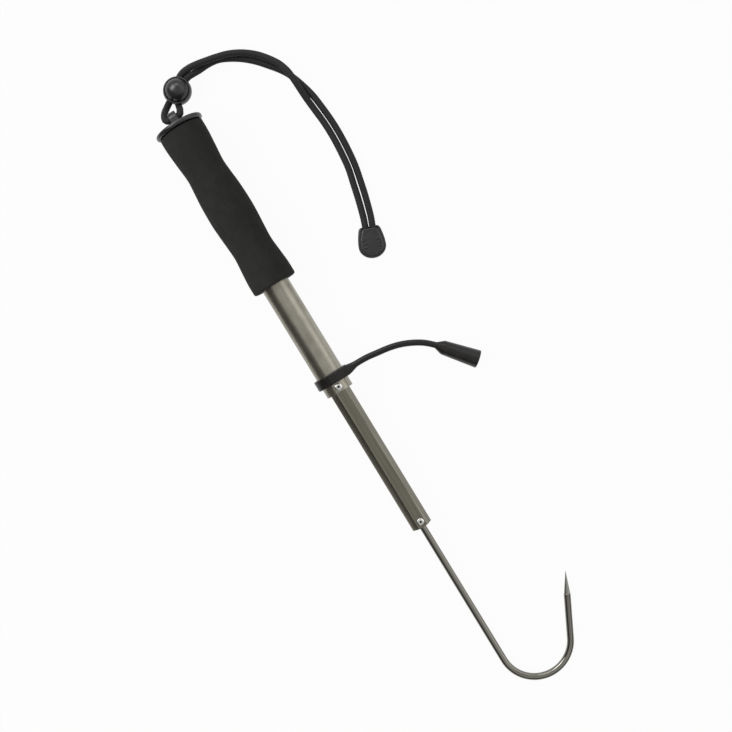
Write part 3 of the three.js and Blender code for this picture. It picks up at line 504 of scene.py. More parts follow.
def makeMesh(name, surfaces, attributes=None):
    # One mesh of closed surfaces, its faces turned outwards
    points = np.vstack([surface[0] for surface in surfaces])
    starts = np.cumsum([0] + [len(surface[0]) for surface in surfaces[:-1]])
    quads = np.vstack([surface[1] + start for surface, start in zip(surfaces, starts)])
    fans = np.vstack([surface[2] + start for surface, start in zip(surfaces, starts)])
    marks = np.concatenate([surface[3].reshape(-1, 2) for surface in surfaces]
                           + [surface[4].reshape(-1, 2) for surface in surfaces])
    halves = np.vstack((quads[:, [0, 1, 2]], quads[:, [0, 2, 3]], fans))
    a, b, c = (points[halves[:, k]] for k in range(3))
    if (np.cross(a, b) * c).sum() < 0:  # six times the signed volume: below zero it is inside out
        quads, fans = quads[:, ::-1], fans[:, ::-1]
        marks = np.concatenate((marks[:quads.size].reshape(-1, 4, 2)[:, ::-1].reshape(-1, 2),
                                marks[quads.size:].reshape(-1, 3, 2)[:, ::-1].reshape(-1, 2)))
    mesh = bpy.data.meshes.new(name)
    totals = np.concatenate((np.full(len(quads), 4), np.full(len(fans), 3)))
    mesh.vertices.add(len(points))
    mesh.vertices.foreach_set("co", points.ravel())
    mesh.loops.add(int(totals.sum()))
    mesh.loops.foreach_set("vertex_index", np.concatenate((quads.ravel(), fans.ravel())))
    mesh.polygons.add(len(totals))
    mesh.polygons.foreach_set("loop_start", np.concatenate(([0], np.cumsum(totals)[:-1])))
    mesh.uv_layers.new(name="UVMap")
    mesh.uv_layers[0].data.foreach_set("uv", marks.ravel())
    for key, values in (attributes or {}).items():
        mesh.attributes.new(key, "FLOAT", "POINT").data.foreach_set("value", np.asarray(values, float).ravel())
    mesh.update(calc_edges=True)
    mesh.validate()
    return mesh


def makePiece(name, surfaces, material, attributes=None, sharpest=35):
    mesh = makeMesh(name, surfaces, attributes)
    mesh.materials.append(material)
    mesh.shade_smooth()
    mesh.set_sharp_from_angle(angle=math.radians(sharpest))
    piece = bpy.data.objects.new(name, mesh)
    scene.collection.objects.link(piece)
    return piece


def settle(piece, sharpest=35):
    # Makes what the modifiers give the piece's own mesh
    evaluated = piece.evaluated_get(bpy.context.evaluated_depsgraph_get())
    mesh = bpy.data.meshes.new_from_object(evaluated)
    mesh.shade_smooth()
    mesh.set_sharp_from_angle(angle=math.radians(sharpest))
    piece.modifiers.clear()
    piece.data = mesh


def combine(piece, tools, operation):
    for tool in tools:
        change = piece.modifiers.new(operation.lower(), "BOOLEAN")
        change.object = tool
        change.operation = operation
        change.solver = "EXACT"
    settle(piece)
    for tool in tools:
        bpy.data.objects.remove(tool)


def finishPiece(piece, body, slotName, *nodes):
    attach(piece, body)
    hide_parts(*nodes)
    return piece


# Profiles
def filleted(points, radii, closed=False, steps=6):
    # Each corner becomes an arc that touches both its sides: its centre lies on the corner's bisector
    points = np.asarray(points, float)
    corners = points if closed else points[1:-1]
    before = np.roll(points, 1, 0) if closed else points[:-2]
    after = np.roll(points, -1, 0) if closed else points[2:]
    radii = np.broadcast_to(np.asarray(radii, float), len(corners))[:, None]
    back, on = unit(before - corners), unit(after - corners)
    half = np.arccos(np.clip((back * on).sum(1, keepdims=True), -1, 1)) / 2
    centre = corners + unit(back + on) * radii / np.sin(half)
    fromCentre = corners + back * radii / np.tan(half) - centre
    toCentre = corners + on * radii / np.tan(half) - centre
    sweep = math.pi - 2 * half
    t = np.linspace(0, 1, steps + 1)[:, None, None]
    arcs = (np.sin((1 - t) * sweep) * fromCentre + np.sin(t * sweep) * toCentre) / np.sin(sweep) + centre
    arcs = arcs.transpose(1, 0, 2).reshape(-1, points.shape[1])
    return arcs if closed else np.vstack((points[:1], arcs, points[-1:]))


def supported(points, far=2 * mm, near=0.3 * mm, closed=False):
    # Long straight stretches get a point close to each end, and more between, so that they stay flat when lit
    path = np.vstack((points, points[:1])) if closed else np.asarray(points)
    out = []
    for start, end in zip(path[:-1], path[1:]):
        length = np.linalg.norm(end - start)
        stops = [0.0]
        if length > 3 * near:
            middle = max(1, math.ceil((length - 2 * near) / far))
            stops += np.linspace(near, length - near, middle + 1).tolist()
        out.append(start + (end - start) * (np.array(stops) / length)[:, None])
    return np.vstack(out + ([] if closed else [path[-1:]]))


def turned(profile, place, sides=128, ring=False):
    # A profile of (radius, distance) carried round the axis
    radius, distance = np.asarray(profile).T[:, :, None]
    angle = np.linspace(0, tau, sides, endpoint=False)
    rows = place(distance, radius * np.cos(angle), radius * np.sin(angle))
    return closedGrid(rows, ring)


def smoothCurve(points, steps):
    # Centripetal Catmull-Rom: a cubic a span, whose end slopes weigh the spans by the roots of their lengths
    points = np.asarray(points, float)
    padded = np.vstack((2 * points[0] - points[1], points, 2 * points[-1] - points[-2]))
    p0, p1, p2, p3 = padded[:-3], padded[1:-2], padded[2:-1], padded[3:]
    d0, d1, d2 = (np.sqrt(np.linalg.norm(b - a, axis=1, keepdims=True)) for a, b in ((p0, p1), (p1, p2), (p2, p3)))
    m1 = ((p1 - p0) / d0 - (p2 - p0) / (d0 + d1) + (p2 - p1) / d1) * d1
    m2 = ((p2 - p1) / d1 - (p3 - p1) / (d1 + d2) + (p3 - p2) / d2) * d1
    t = np.linspace(0, 1, steps, endpoint=False)[:, None, None]
    curve = ((2 * t ** 3 - 3 * t ** 2 + 1) * p1 + (t ** 3 - 2 * t ** 2 + t) * m1
             + (3 * t ** 2 - 2 * t ** 3) * p2 + (t ** 3 - t ** 2) * m2)
    return np.vstack((curve.transpose(1, 0, 2).reshape(-1, points.shape[1]), points[-1:]))


def evenlySpaced(curve, spacing):
    # Points at even distances along a curve, each on the straight line between the two points around it
    lengths = np.concatenate(([0], np.cumsum(np.linalg.norm(np.diff(curve, axis=0), axis=1))))
    stations = np.linspace(0, lengths[-1], max(2, round(lengths[-1] / spacing)) + 1)
    return stations, np.stack([np.interp(stations, lengths, column) for column in curve.T], -1)


def crossAxes(points):
    # The direction along a path, the level direction square to it and the third, which points upward
    tangent = unit(np.gradient(points, axis=0))
    side = unit(np.cross(skyward, tangent))
    return tangent, side, np.cross(tangent, side)


# Lanyard: one cord, doubled through the lug's eye and made here as its two halves, each from the eye to the clip
cordSizes = {
    "radius": 3 * mm, "carriers": 8, "yarnPitch": 2.6 * mm, "relief": 0.3 * mm,
    "dip": 0.45, "columns": 48, "rowSpacing": 0.38 * mm, "endRounding": 1.2 * mm, "steps": 16,
}
# The route's points, measured from below the butt face, brought to metres
leftStrandRoute = np.array([
    (-32.1, 12.8, 10.3), (-36.9, 18.9, 10.3), (-39.8, 23.1, 10.4), (-41.3, 27.8, 11), (-41.7, 35, 11.1),
    (-40.9, 42.8, 10.5), (-39.6, 50.8, 9.8), (-37.8, 59.1, 9.6), (-35, 69.2, 9.2), (-29.4, 80.5, 8.4),
    (-21.6, 90.4, 7.7), (-11.9, 98.3, 7.9), (-4.1, 102.7, 8.8), (3.6, 105.1, 9.6), (10.5, 106, 9.6),
    (19.1, 106.5, 8.6), (28.7, 107, 6.1), (35.7, 107.6, 4.3), (43.5, 108.4, 3.1), (58.1, 109.6, 3.1),
    (71.9, 109.8, 3.1), (87.5, 108.9, 3.1), (103, 107.1, 3.1), (118.2, 103.5, 3.1), (130.1, 100.6, 3.1),
    (147.2, 95.7, 3.8), (153.7, 93.3, 4.7), (157.9, 91.7, 4.8), (161.9, 90.2, 4.8),
]) * mm
rightStrandRoute = np.array([
    (-27.2, 16.7, 10.3), (-33.5, 24.2, 10.2), (-35.6, 28.2, 9.9), (-36.25, 34, 8.6), (-37.1, 40, 5.4),
    (-38.1, 49.6, 3.3), (-37, 58.7, 3.1), (-32.8, 68.1, 3.1), (-26.2, 78.1, 3.1), (-18.2, 86.9, 3.1),
    (-9.1, 94.7, 3.1), (-2.4, 100, 3.1), (3.9, 104.1, 3.1), (10.2, 107, 3.1), (18.7, 110, 3.1),
    (28.1, 112.6, 3.1), (34.9, 113.9, 3.1), (42.8, 114.8, 3.1), (57.9, 116, 3.1), (72.1, 116.2, 3.1),
    (88.1, 115.3, 3.1), (104, 113.4, 3.1), (119.7, 110, 3.1), (131.6, 107.1, 3.1), (149.5, 101.8, 3.8),
    (156, 99.2, 4.7), (160.2, 97.6, 4.8), (164.2, 96.1, 4.8),
]) * mm
loopRoute = np.array([
    (-31.85, 12.49, 10.3), (-27.65, 7.14, 10.3), (-25.27, 3.67, 10.3), (-23.6, 1.3, 11.1), (-21.4, -1, 13.1),
    (-19.2, -3, 15.9), (-16.8, -4.7, 18.9), (-14.3, -6, 21.6), (-11.8, -6.9, 23.4), (-9.7, -7, 24.8),
    (-8.1, -6.2, 25.9), (-7.1, -4.6, 26.55), (-6.75, -2.6, 26.8), (-6.7, 0, 26.8), (-6.75, 2.6, 26.8),
    (-7.05, 4.6, 26.4), (-7.8, 6.2, 25.4), (-8.9, 7, 24), (-10.4, 7.4, 21.8), (-12.1, 7.8, 19),
    (-13.5, 8.2, 16.3), (-14.9, 8.4, 13.6), (-16.3, 8.5, 11.6), (-18.2, 8.8, 10.5), (-20.4, 9.5, 10.2),
    (-22.49, 10.96, 10.3), (-26.9, 16.4, 10.3),
]) * mm
eyePoint = 13  # the loop's point in the middle of the eye


def braidedTube(name, curve):
    # Two sets of yarns wind opposite ways: a counts one set and b the other, and where their whole parts sum to an
    # even number the first set lies on top. A yarn's crown is a half circle across it, and dips where it goes under
    stations, centre = evenlySpaced(curve, cordSizes["rowSpacing"])
    _, side, lift = crossAxes(centre)
    angle = np.linspace(0, tau, cordSizes["columns"], endpoint=False)
    count, alongYarns = cordSizes["carriers"] * angle / tau, stations[:, None] / cordSizes["yarnPitch"]
    a, b = count + alongYarns, count - alongYarns
    firstOnTop = (np.floor(a) + np.floor(b)) % 2 == 0
    own, other = np.where(firstOnTop, a, b), np.where(firstOnTop, b, a)
    dip = cordSizes["dip"]
    crown = np.sqrt(1 - (2 * (own % 1) - 1) ** 2) * (1 - dip + dip * np.sqrt(1 - (2 * (other % 1) - 1) ** 2))
    fromEnd = np.minimum(stations, stations[-1] - stations)[:, None]
    rounding = np.sqrt(1 - (1 - np.clip(fromEnd / cordSizes["endRounding"], 0.02, 1)) ** 2)
    radius = (cordSizes["radius"] - cordSizes["relief"] * (1 - crown)) * rounding
    rows = centre[:, None] + radius[..., None] * (np.cos(angle)[:, None] * side[:, None]
                                                  + np.sin(angle)[:, None] * lift[:, None])
    ends = [0.0, 0.0]
    return makePiece(name, [closedGrid(rows)], braid, {
        "crown": np.concatenate((crown.ravel(), ends)), "fibre": np.concatenate((own.ravel(), ends)),
    }, sharpest=180), centre, stations[-1]


def makeCords():
    # Each half's route runs from the middle of the eye along the loop, and then along its strand
    halves = {
        "cordLeft": np.vstack((loopRoute[eyePoint:0:-1], leftStrandRoute)),
        "cordRight": np.vstack((loopRoute[eyePoint:-1], rightStrandRoute)),
    }
    nodes = {"cordLeft": ("lanyard_strand_left", "lanyard_loop"), "cordRight": ("lanyard_strand_right",)}
    made = {}
    for name, route in halves.items():
        piece, centre, length = braidedTube(name, smoothCurve(ground + route, cordSizes["steps"]))
        finishPiece(piece, "handle", "braided_cord", *nodes[name])
        made[name] = piece, centre, length
        print("cord", name, round(length, 4))
    return made


cords = makeCords()
print("stage: cords")


def arcPoints(centre, radius, start, end, steps):
    # Points of (radius, distance) on an arc about a centre, its angles in degrees from the outward direction
    angle = np.radians(np.linspace(start, end, steps + 1))
    return np.stack((centre[0] + radius * np.cos(angle), centre[1] + radius * np.sin(angle)), -1)


# Handle
handleSizes = {
    "start": 4.6 * mm, "end": 266.1 * mm, "radius": 12.5 * mm, "wall": 1.2 * mm, "edge": 0.18 * mm,
    "sides": 192,
}
gripSizes = {
    "start": 4.6 * mm, "length": 154.3 * mm, "radius": 20.2 * mm, "waist": 17.7 * mm, "bore": 12.8 * mm,
    "corner": 1.8 * mm, "sides": 192,
    "outline": np.array([
        (0, 0.96), (0.07, 0.94), (0.168, 0.48), (0.262, 0.02), (0.335, 0.3), (0.41, 0.71), (0.53, 0.95),
        (0.6, 0.8), (0.7, 0.36), (0.765, 0.19), (0.84, 0.55), (0.925, 0.98), (1, 1),
    ]),  # shares of the length and of the swell above the waist
}
capSizes = {
    "flange": 21.95 * mm, "thickness": 4.3 * mm, "plug": 11.0 * mm, "plugEnd": 22.3 * mm,
    "fillets": np.array((1.9, 1.9, 0.3, 0.6, 0.4, 0.4)) * mm, "sides": 160, "core": 8.6 * mm,
    "lugRadius": 6.4 * mm, "lugHalf": 3.6 * mm, "lugEdge": 1.0 * mm, "flare": 1.5 * mm, "root": 1.0 * mm,
    "eye": 3.9 * mm, "eyePlace": 6.2 * mm, "eyeEdge": 1.3 * mm, "spacing": 0.35 * mm,
}


def makeHandleTube():
    # The wall's section, its corners rounded, carried round the tubes' axis
    s = handleSizes
    inner = s["radius"] - s["wall"]
    wall = [(inner, s["start"]), (s["radius"], s["start"]), (s["radius"], s["end"]), (inner, s["end"])]
    profile = supported(filleted(wall, s["edge"], closed=True), 6 * mm, closed=True)
    piece = makePiece("handleTube", [turned(profile, onTubes, s["sides"], ring=True)], drawnTube)
    return finishPiece(piece, "handle", "anodised_tube", "handle_tube")


def makeGrip():
    # A spline through the swells and the waists, with a round corner at each end, carried round the shaft
    s = gripSizes
    shape = smoothCurve(s["outline"] * (s["length"], s["radius"] - s["waist"]) + (0, s["waist"]), 14)
    corner, butt = s["corner"], shape[0, 1]
    cornerEnd = 1.3 * corner  # past the corner's arc, with room for a smooth join
    side = shape[(shape[:, 0] > cornerEnd) & (shape[:, 0] < s["length"] - cornerEnd)][:, ::-1]
    profile = np.vstack((
        [(s["bore"], 0)],
        arcPoints((butt - corner, corner), corner, -90, 0, 8),
        side,
        arcPoints((s["radius"] - corner, s["length"] - corner), corner, 0, 90, 8),
        [(s["bore"], s["length"])],
    )) + (0, s["start"])
    grip = makePiece("foamGrip", [turned(profile, onShaft, s["sides"], ring=True)], foam)
    finishPiece(grip, "handle", "foam", "grip")
    return grip


def lugRing():
    # A ring round the eye: its inside is a circle and its outside a round end, straight sides and a flare at the root
    s = capSizes
    half, flare, root = s["lugRadius"], s["flare"], s["root"]
    roundEnd = arcPoints((-s["eyePlace"], 0), half, 90, 270, 40)
    upper = arcPoints((-flare, half + flare), flare, 0, -90, 8)
    outline = np.vstack((
        [(root, half + flare)], upper, roundEnd, upper[::-1] * (1, -1), [(root, -half - flare)],
    ))
    _, outline = evenlySpaced(np.vstack((outline, outline[:1])), s["spacing"])
    outline = outline[:-1] + (s["eyePlace"], 0)
    reach = np.linalg.norm(outline, axis=1)
    outward = outline / reach[:, None]
    innerEdge = arcPoints((s["eyeEdge"], s["lugHalf"] - s["eyeEdge"]), s["eyeEdge"], 180, 90, 8)
    outerEdge = arcPoints((-s["lugEdge"], s["lugHalf"] - s["lugEdge"]), s["lugEdge"], 90, 0, 6)
    section = np.vstack((innerEdge, outerEdge, outerEdge[::-1] * (1, -1), innerEdge[::-1] * (1, -1)))
    outer = np.repeat((0, 1, 0), (len(innerEdge), 2 * len(outerEdge), len(innerEdge)))[:, None]
    distance = (1 - outer) * s["eye"] + outer * reach + section[:, :1]
    rows = onShaft(distance * outward[:, 0] - s["eyePlace"], np.broadcast_to(section[:, 1:], distance.shape),
                   distance * outward[:, 1])
    return closedGrid(rows, ring=True)


def makeButtCap():
    # A stepped profile of flange and plug carried round the shaft, joined to the lug
    s = capSizes
    face = s["thickness"]
    body = filleted(
        [(nearAxis, 0), (s["flange"], 0), (s["flange"], face), (s["plug"], face), (s["plug"], s["plugEnd"]),
         (s["core"], s["plugEnd"]), (s["core"], face), (nearAxis, face)],
        s["fillets"], steps=8)
    cap = makePiece("buttCap", [turned(supported(body, 4 * mm), onShaft, s["sides"])], mouldedNylon)
    combine(cap, [makePiece("lug", [lugRing()], mouldedNylon)], "UNION")
    return finishPiece(cap, "handle", "moulded_black", "butt_cap")


makeHandleTube()
makeGrip()
makeButtCap()
print("stage: handle")


# Middle tube
hexagonSizes = {
    "start": 236.1 * mm, "end": 403.0 * mm, "flats": 16 * mm, "wall": 1.2 * mm, "corner": 0.9 * mm,
    "edge": 0.15 * mm, "cornerSteps": 7,
    "flatShares": np.array((0.03, 0.12, 0.3, 0.5, 0.7, 0.88, 0.97)),
    "flatWear": (0.5, 0, 0, 0, 0, 0, 0.5),  # how rubbed a flat is at each of these shares of its width
}


def hexagonOutline(flats, corner):
    # Six corner circles on the corners of a smaller hexagon, joined by flats that keep a point near each end
    s = hexagonSizes
    reach = (flats / 2 - corner) / math.cos(tau / 12)
    turn = np.arange(6)[:, None] * tau / 6
    sweep = turn + np.linspace(-tau / 12, tau / 12, s["cornerSteps"])
    arcs = np.stack((reach * np.cos(turn) + corner * np.cos(sweep),
                     reach * np.sin(turn) + corner * np.sin(sweep)), -1)
    on = np.roll(arcs[:, :1], -1, 0)
    flat = arcs[:, -1:] + (on - arcs[:, -1:]) * s["flatShares"][None, :, None]
    worn = np.concatenate((np.ones((6, s["cornerSteps"])), np.tile(s["flatWear"], (6, 1))), 1)
    return np.concatenate((arcs, flat), 1).reshape(-1, 2), worn.ravel()


def makeHexTube():
    # A point's depth in the wall blends it from the outer hexagon to the inner one, and it runs along the axis
    s = hexagonSizes
    outer, worn = hexagonOutline(s["flats"], s["corner"])
    inner, _ = hexagonOutline(s["flats"] - 2 * s["wall"], s["corner"] / 2)
    wall = [(0, s["start"]), (s["wall"], s["start"]), (s["wall"], s["end"]), (0, s["end"])]
    depth, place = supported(filleted(wall, s["edge"], closed=True), 6 * mm, closed=True).T[:, :, None]
    outline = outer + (inner - outer) * (depth / s["wall"])[..., None]
    rows = onTubes(place, outline[..., 0], outline[..., 1])
    corner = worn * (depth < s["edge"])
    piece = makePiece("hexTube", [closedGrid(rows, ring=True)], extrudedHexagon, {"corner": corner})
    return finishPiece(piece, "middle", "anodised_hexagon", "hex_tube")


rivetSizes = {
    "shank": 1.6 * mm, "head": 3.25 * mm, "height": 1.2 * mm, "hole": 0.8 * mm, "holeDepth": 0.8 * mm,
    "under": 0.28 * mm, "edge": 0.15 * mm, "rim": 0.3 * mm, "holeEdge": 0.15 * mm, "holeLip": 0.1 * mm,
    "sides": 64, "nearAxis": 0.15 * mm,
    "paintedFootShade": (0.85, 0.45),  # shares of painted contact shadow round the foot of the head and just above it
    "tube": (261.6 * mm, 12.8 * mm, 2.7 * mm),  # place from the butt face, height of the seat, length of the shank
    "hexagon": (397.9 * mm, 8.3 * mm, 3.9 * mm),
}


def makeRivet(name, node, body, place, seat, shankLength, way):
    # A shank, a low dome over the head and a blind hole in its middle, where the mandrel broke off
    s = rivetSizes
    near = s["nearAxis"]
    rise = s["height"] - s["rim"]
    domeRadius = (s["head"] ** 2 + rise ** 2) / (2 * rise)
    radii = np.linspace(s["head"] - s["edge"], s["hole"] + s["holeEdge"], 10)
    dome = np.stack((radii, s["height"] - domeRadius + np.sqrt(domeRadius ** 2 - radii ** 2)), -1)
    bottom = dome[-1, 1] - s["holeDepth"]
    profile = np.vstack((
        [(near, -shankLength), (s["shank"], -shankLength), (s["shank"], -s["under"] - near)],
        filleted([(s["shank"], -s["under"]), (s["head"], -s["under"]), (s["head"], s["rim"])], s["edge"])[:-1],
        dome,
        [(s["hole"], dome[-1, 1] - s["holeLip"]), (s["hole"], bottom), (near, bottom)],
    ))
    origin = onTubes(np.array(place), np.array(0.0), np.array(way * seat))
    axis = unit(onTubes(np.array(0.0), np.array(0.0), np.array(float(way))) - buttFace)
    placeRivet = placer(origin, axis, along, np.cross(axis, along))
    # Painted shade: these shares darken the rivet to near black in its hole, and partly round the foot of its head
    # where its contact shadow falls
    hollow = np.zeros((len(profile), s["sides"]))  # a row for each point of the profile
    hollow[-4:] = 1  # the hole and the dome's last point
    hollow[3:9], hollow[9:11] = s["paintedFootShade"]
    piece = makePiece(name, [turned(profile, placeRivet, s["sides"])], rivetAluminium,
                      {"hollow": np.append(hollow.ravel(), (0, 1))})
    return finishPiece(piece, body, "rivet_metal", node)


makeHexTube()
for side, way in (("front", 1), ("back", -1)):
    makeRivet(f"tubeRivet.{side}", f"tube_rivet_{side}", "handle", *rivetSizes["tube"], way)
    makeRivet(f"hexRivet.{side}", f"hex_rivet_{side}", "middle", *rivetSizes["hexagon"], way)
print("stage: tubes and rivets")


# Hook
hookSizes = {
    "start": 365.7 * mm, "bendStart": 541 * mm, "radius": 3 * mm, "bend": 31.4 * mm,
    "angle": math.radians(153.3), "shank": 39.2 * mm, "point": 19.7 * mm, "pointRadius": 2.8 * mm,
    "tip": 0.14 * mm, "sides": 64, "chamfer": 0.06 * mm, "inset": 0.3 * mm,
    "step": np.array((-0.25, -0.1, 0, 0.08)) * mm,  # where the shoulder's edge starts, bends, falls and ends
    "beforeStep": 0.6 * mm, "afterStep": np.array((0.1, 0.2)) * mm,
}


def makeHook():
    # A round section along a straight, a circular bend and a straight shank, stepped down to a cone at the point
    s = hookSizes
    bendEnd = s["bendStart"] + s["bend"] * s["angle"]
    shoulder = bendEnd + s["shank"]
    drop = s["radius"] - s["pointRadius"]
    coneStart = s["afterStep"][-1]
    stations = np.concatenate((
        np.linspace(s["start"] + s["inset"], s["bendStart"], 30, endpoint=False),
        np.linspace(s["bendStart"], bendEnd, 90, endpoint=False),
        np.linspace(bendEnd, shoulder - s["beforeStep"], 8),
        shoulder + np.append(s["step"], s["afterStep"]),
        shoulder + coneStart + (s["point"] - coneStart) * np.linspace(0.04, 1, 24),
    ))
    coneShare = np.clip((stations - shoulder) / s["point"], 0, 1)
    body = np.interp(stations - shoulder, s["step"],
                     (s["radius"], s["radius"] - s["chamfer"], s["radius"] - drop / 2, s["pointRadius"]))
    radius = body - (s["pointRadius"] - s["tip"]) * coneShare
    turn = np.clip((stations - s["bendStart"]) / s["bend"], 0, s["angle"])
    straight = np.minimum(stations, s["bendStart"])
    beyond = np.maximum(stations - bendEnd, 0)
    a = straight + s["bend"] * np.sin(turn) + beyond * math.cos(s["angle"])
    p = s["bend"] * (1 - np.cos(turn)) + beyond * math.sin(s["angle"])
    angle = np.linspace(0, tau, s["sides"], endpoint=False)
    inPlane, out = radius[:, None] * np.cos(angle), radius[:, None] * np.sin(angle)
    rows = onShaft(a[:, None] - inPlane * np.sin(turn)[:, None], p[:, None] + inPlane * np.cos(turn)[:, None], out)
    tip = np.repeat((stations > shoulder).astype(float), s["sides"])
    grid = closedGrid(rows, size=(tau * s["radius"], float(np.ptp(stations))))
    piece = makePiece("hookRod", [grid], hookSteel, {"point": np.append(tip, (0, 1))}, sharpest=50)
    return finishPiece(piece, "hook", "hook_steel", "hook")


makeHook()
print("stage: hook")


# Tip guard
guardSizes = {
    "bore": 12.8 * mm, "wall": 2.9 * mm, "width": 9.3 * mm, "edge": 0.8 * mm, "strap": 3.2 * mm,
    "strapReach": 16 * mm, "arm": 2.75 * mm, "reach": 116.9 * mm, "sweep": 52.3 * mm, "armHeight": 7.6 * mm,
    "rounding": (0.15, 0.28), "squareness": 0.35, "voxel": 0.3 * mm, "smoothing": (0.5, 6), "sides": 128,
    "path": np.array([
        (0.21, -0.01, 0.97), (0.295, -0.005, 0.91), (0.38, 0.02, 0.82), (0.47, 0.05, 0.7), (0.555, 0.1, 0.55),
        (0.637, 0.18, 0.36), (0.713, 0.285, 0.17), (0.778, 0.42, 0),
    ]),  # shares of the reach, of the sweep and of the height above the cap's neck
}
tipCapSizes = {
    "neck": 6.8 * mm, "shoulder": 6.2 * mm, "mouth": 8 * mm, "depth": 27 * mm, "socket": 3.5 * mm,
    "funnelDepth": 8 * mm, "funnel": 5.6 * mm, "neckStep": 0.2 * mm, "sides": 96,
    "fillets": np.array((0.5, 2.5, 0.8, 0.7, 3, 1.5)) * mm,
}


def makeTipGuard():
    # A ring, a flat strap that rounds into an arm, and a hollow cap, melted together over small voxels
    s, c = guardSizes, tipCapSizes
    place = shaft["guardPlace"]
    outer, half = s["bore"] + s["wall"], s["width"] / 2
    wall = [(s["bore"], place - half), (outer, place - half), (outer, place + half), (s["bore"], place + half)]
    ring = turned(supported(filleted(wall, s["edge"], closed=True), closed=True), onShaft, s["sides"], ring=True)

    strapHeight = s["bore"] + s["strap"] / 2
    arm = s["path"][:, [1, 0, 2]] * (s["sweep"], s["reach"], strapHeight - s["armHeight"])
    arm += (place, 0, s["armHeight"])
    mouthPlace = place + s["sweep"]
    mouthHeight = c["mouth"] - (buttFace[2] + mouthPlace * along[2]) / upward[2]
    mouth = np.array((mouthPlace, s["reach"], mouthHeight))
    capLine = mouth - arm[-1]
    capLength = np.linalg.norm(capLine)
    capAxis = capLine / capLength
    route = np.vstack((
        [(place, -s["wall"], strapHeight), (place, s["strapReach"] / 2, strapHeight),
         (place, s["strapReach"], strapHeight)],
        arm, arm[-1] + capAxis * c["neck"] / 2,
    ))
    centre = smoothCurve(route, 16)
    share = np.linspace(0, 1, len(centre))
    rounded = np.clip((share - s["rounding"][0]) / (s["rounding"][1] - s["rounding"][0]), 0, 1)
    rounded = (rounded ** 2 * (3 - 2 * rounded))[:, None]
    _, side, lift = crossAxes(centre)
    angle = np.linspace(0, tau, 48, endpoint=False)
    power = s["squareness"] + (1 - s["squareness"]) * rounded
    wide = np.sign(np.cos(angle)) * np.abs(np.cos(angle)) ** power * (half + (s["arm"] - half) * rounded)
    high = np.sign(np.sin(angle)) * np.abs(np.sin(angle)) ** power
    high = high * (s["strap"] / 2 + (s["arm"] - s["strap"] / 2) * rounded)
    rows = centre[:, None] + wide[..., None] * side[:, None] + high[..., None] * lift[:, None]
    strap = closedGrid(onShaft(rows[..., 0], rows[..., 1], rows[..., 2]))

    capP = unit(np.cross(capAxis, skyward))
    capWorld = [onShaft(*vector) - buttFace for vector in (capAxis, capP, np.cross(capAxis, capP))]
    onCap = placer(onShaft(*arm[-1]), *capWorld)
    lean = -capAxis[2] / math.hypot(capAxis[0], capAxis[1])

    def squaredOff(distance, p, q):
        # The upper half of the mouth draws back with its height, so that the sloping cap ends upright
        nearMouth = np.clip(1 + (distance - capLength) / c["funnelDepth"], 0, 1)
        return onCap(distance + lean * np.minimum(q, 0) * nearMouth, p, q)

    outside = filleted(
        [(nearAxis, 0), (s["arm"] + c["neckStep"], 0), (c["shoulder"], c["neck"]), (c["mouth"], capLength),
         (c["funnel"], capLength), (c["socket"], capLength - c["funnelDepth"]),
         (c["socket"], capLength - c["depth"]), (nearAxis, capLength - c["depth"] - c["socket"] / 2)],
        c["fillets"], steps=8)
    cap = turned(supported(outside), squaredOff, c["sides"])

    guard = makePiece("tipGuard", [ring], guardRubber)
    combine(guard, [makePiece("strap", [strap], guardRubber), makePiece("cap", [cap], guardRubber)], "UNION")
    melt = guard.modifiers.new("melt", "REMESH")
    melt.mode = "VOXEL"
    melt.voxel_size = s["voxel"]
    soften = guard.modifiers.new("soften", "SMOOTH")
    soften.factor, soften.iterations = s["smoothing"]
    settle(guard, sharpest=60)
    guard.data.materials.clear()
    guard.data.materials.append(guardRubber)
    return finishPiece(guard, "guard", "guard_rubber", "tip_guard")


makeTipGuard()
print("stage: tip guard")


# Cord lock
lockSizes = {
    "radius": 12.4 * mm, "foot": 2.6 * mm, "rim": 4 * mm, "recess": 1.9 * mm, "bore": 8.4 * mm,
    "boreDepth": 8 * mm, "well": 3.5 * mm, "wellDepth": 2.6 * mm, "holeDrop": 1.8 * mm, "hole": 3.4 * mm,
    "spacing": 6.3 * mm, "straight": 5.8 * mm, "spread": 4.2 * mm, "rise": 0.6 * mm, "stem": 8.1 * mm,
    "stemBottom": 6.3 * mm, "button": 10.4 * mm, "skirt": 0.3 * mm, "travel": 1.3 * mm, "slotGap": 0.3 * mm,
    "recessGap": 0.16 * mm, "wire": 0.25 * mm, "turns": 3, "springFoot": -10.3 * mm, "springTop": -6.6 * mm,
    "springKeeps": 0.65, "sides": 160, "supports": (2 * mm, 0.2 * mm),
    "holeParts": (0.6, 0.62, 1.12),  # in ball radii: the end of the even part, and the start and end of a flared one
    "holePower": 1.5, "flareMost": 1.3, "halfRound": 25,
    "cupFillets": np.array((0.45, 0.35, 0.2, 0.3, 0.3, 0.2, 0.2)) * mm,
    "plungerFillets": np.array((0.5, 0.2, 0.35)) * mm, "slotCorner": 0.6 * mm, "slotReach": 10.1 * mm,
    "place": np.array((-29.5, 14.6, 0)) * mm,
}
holeWay = np.array(joints["cord_lock_slide"]["axis"], float)
footDepth = math.sqrt(lockSizes["radius"] ** 2 - lockSizes["foot"] ** 2)
lockCentre = ground + lockSizes["place"] + footDepth * skyward
onLock = placer(lockCentre, skyward, holeWay, np.cross(skyward, holeWay))


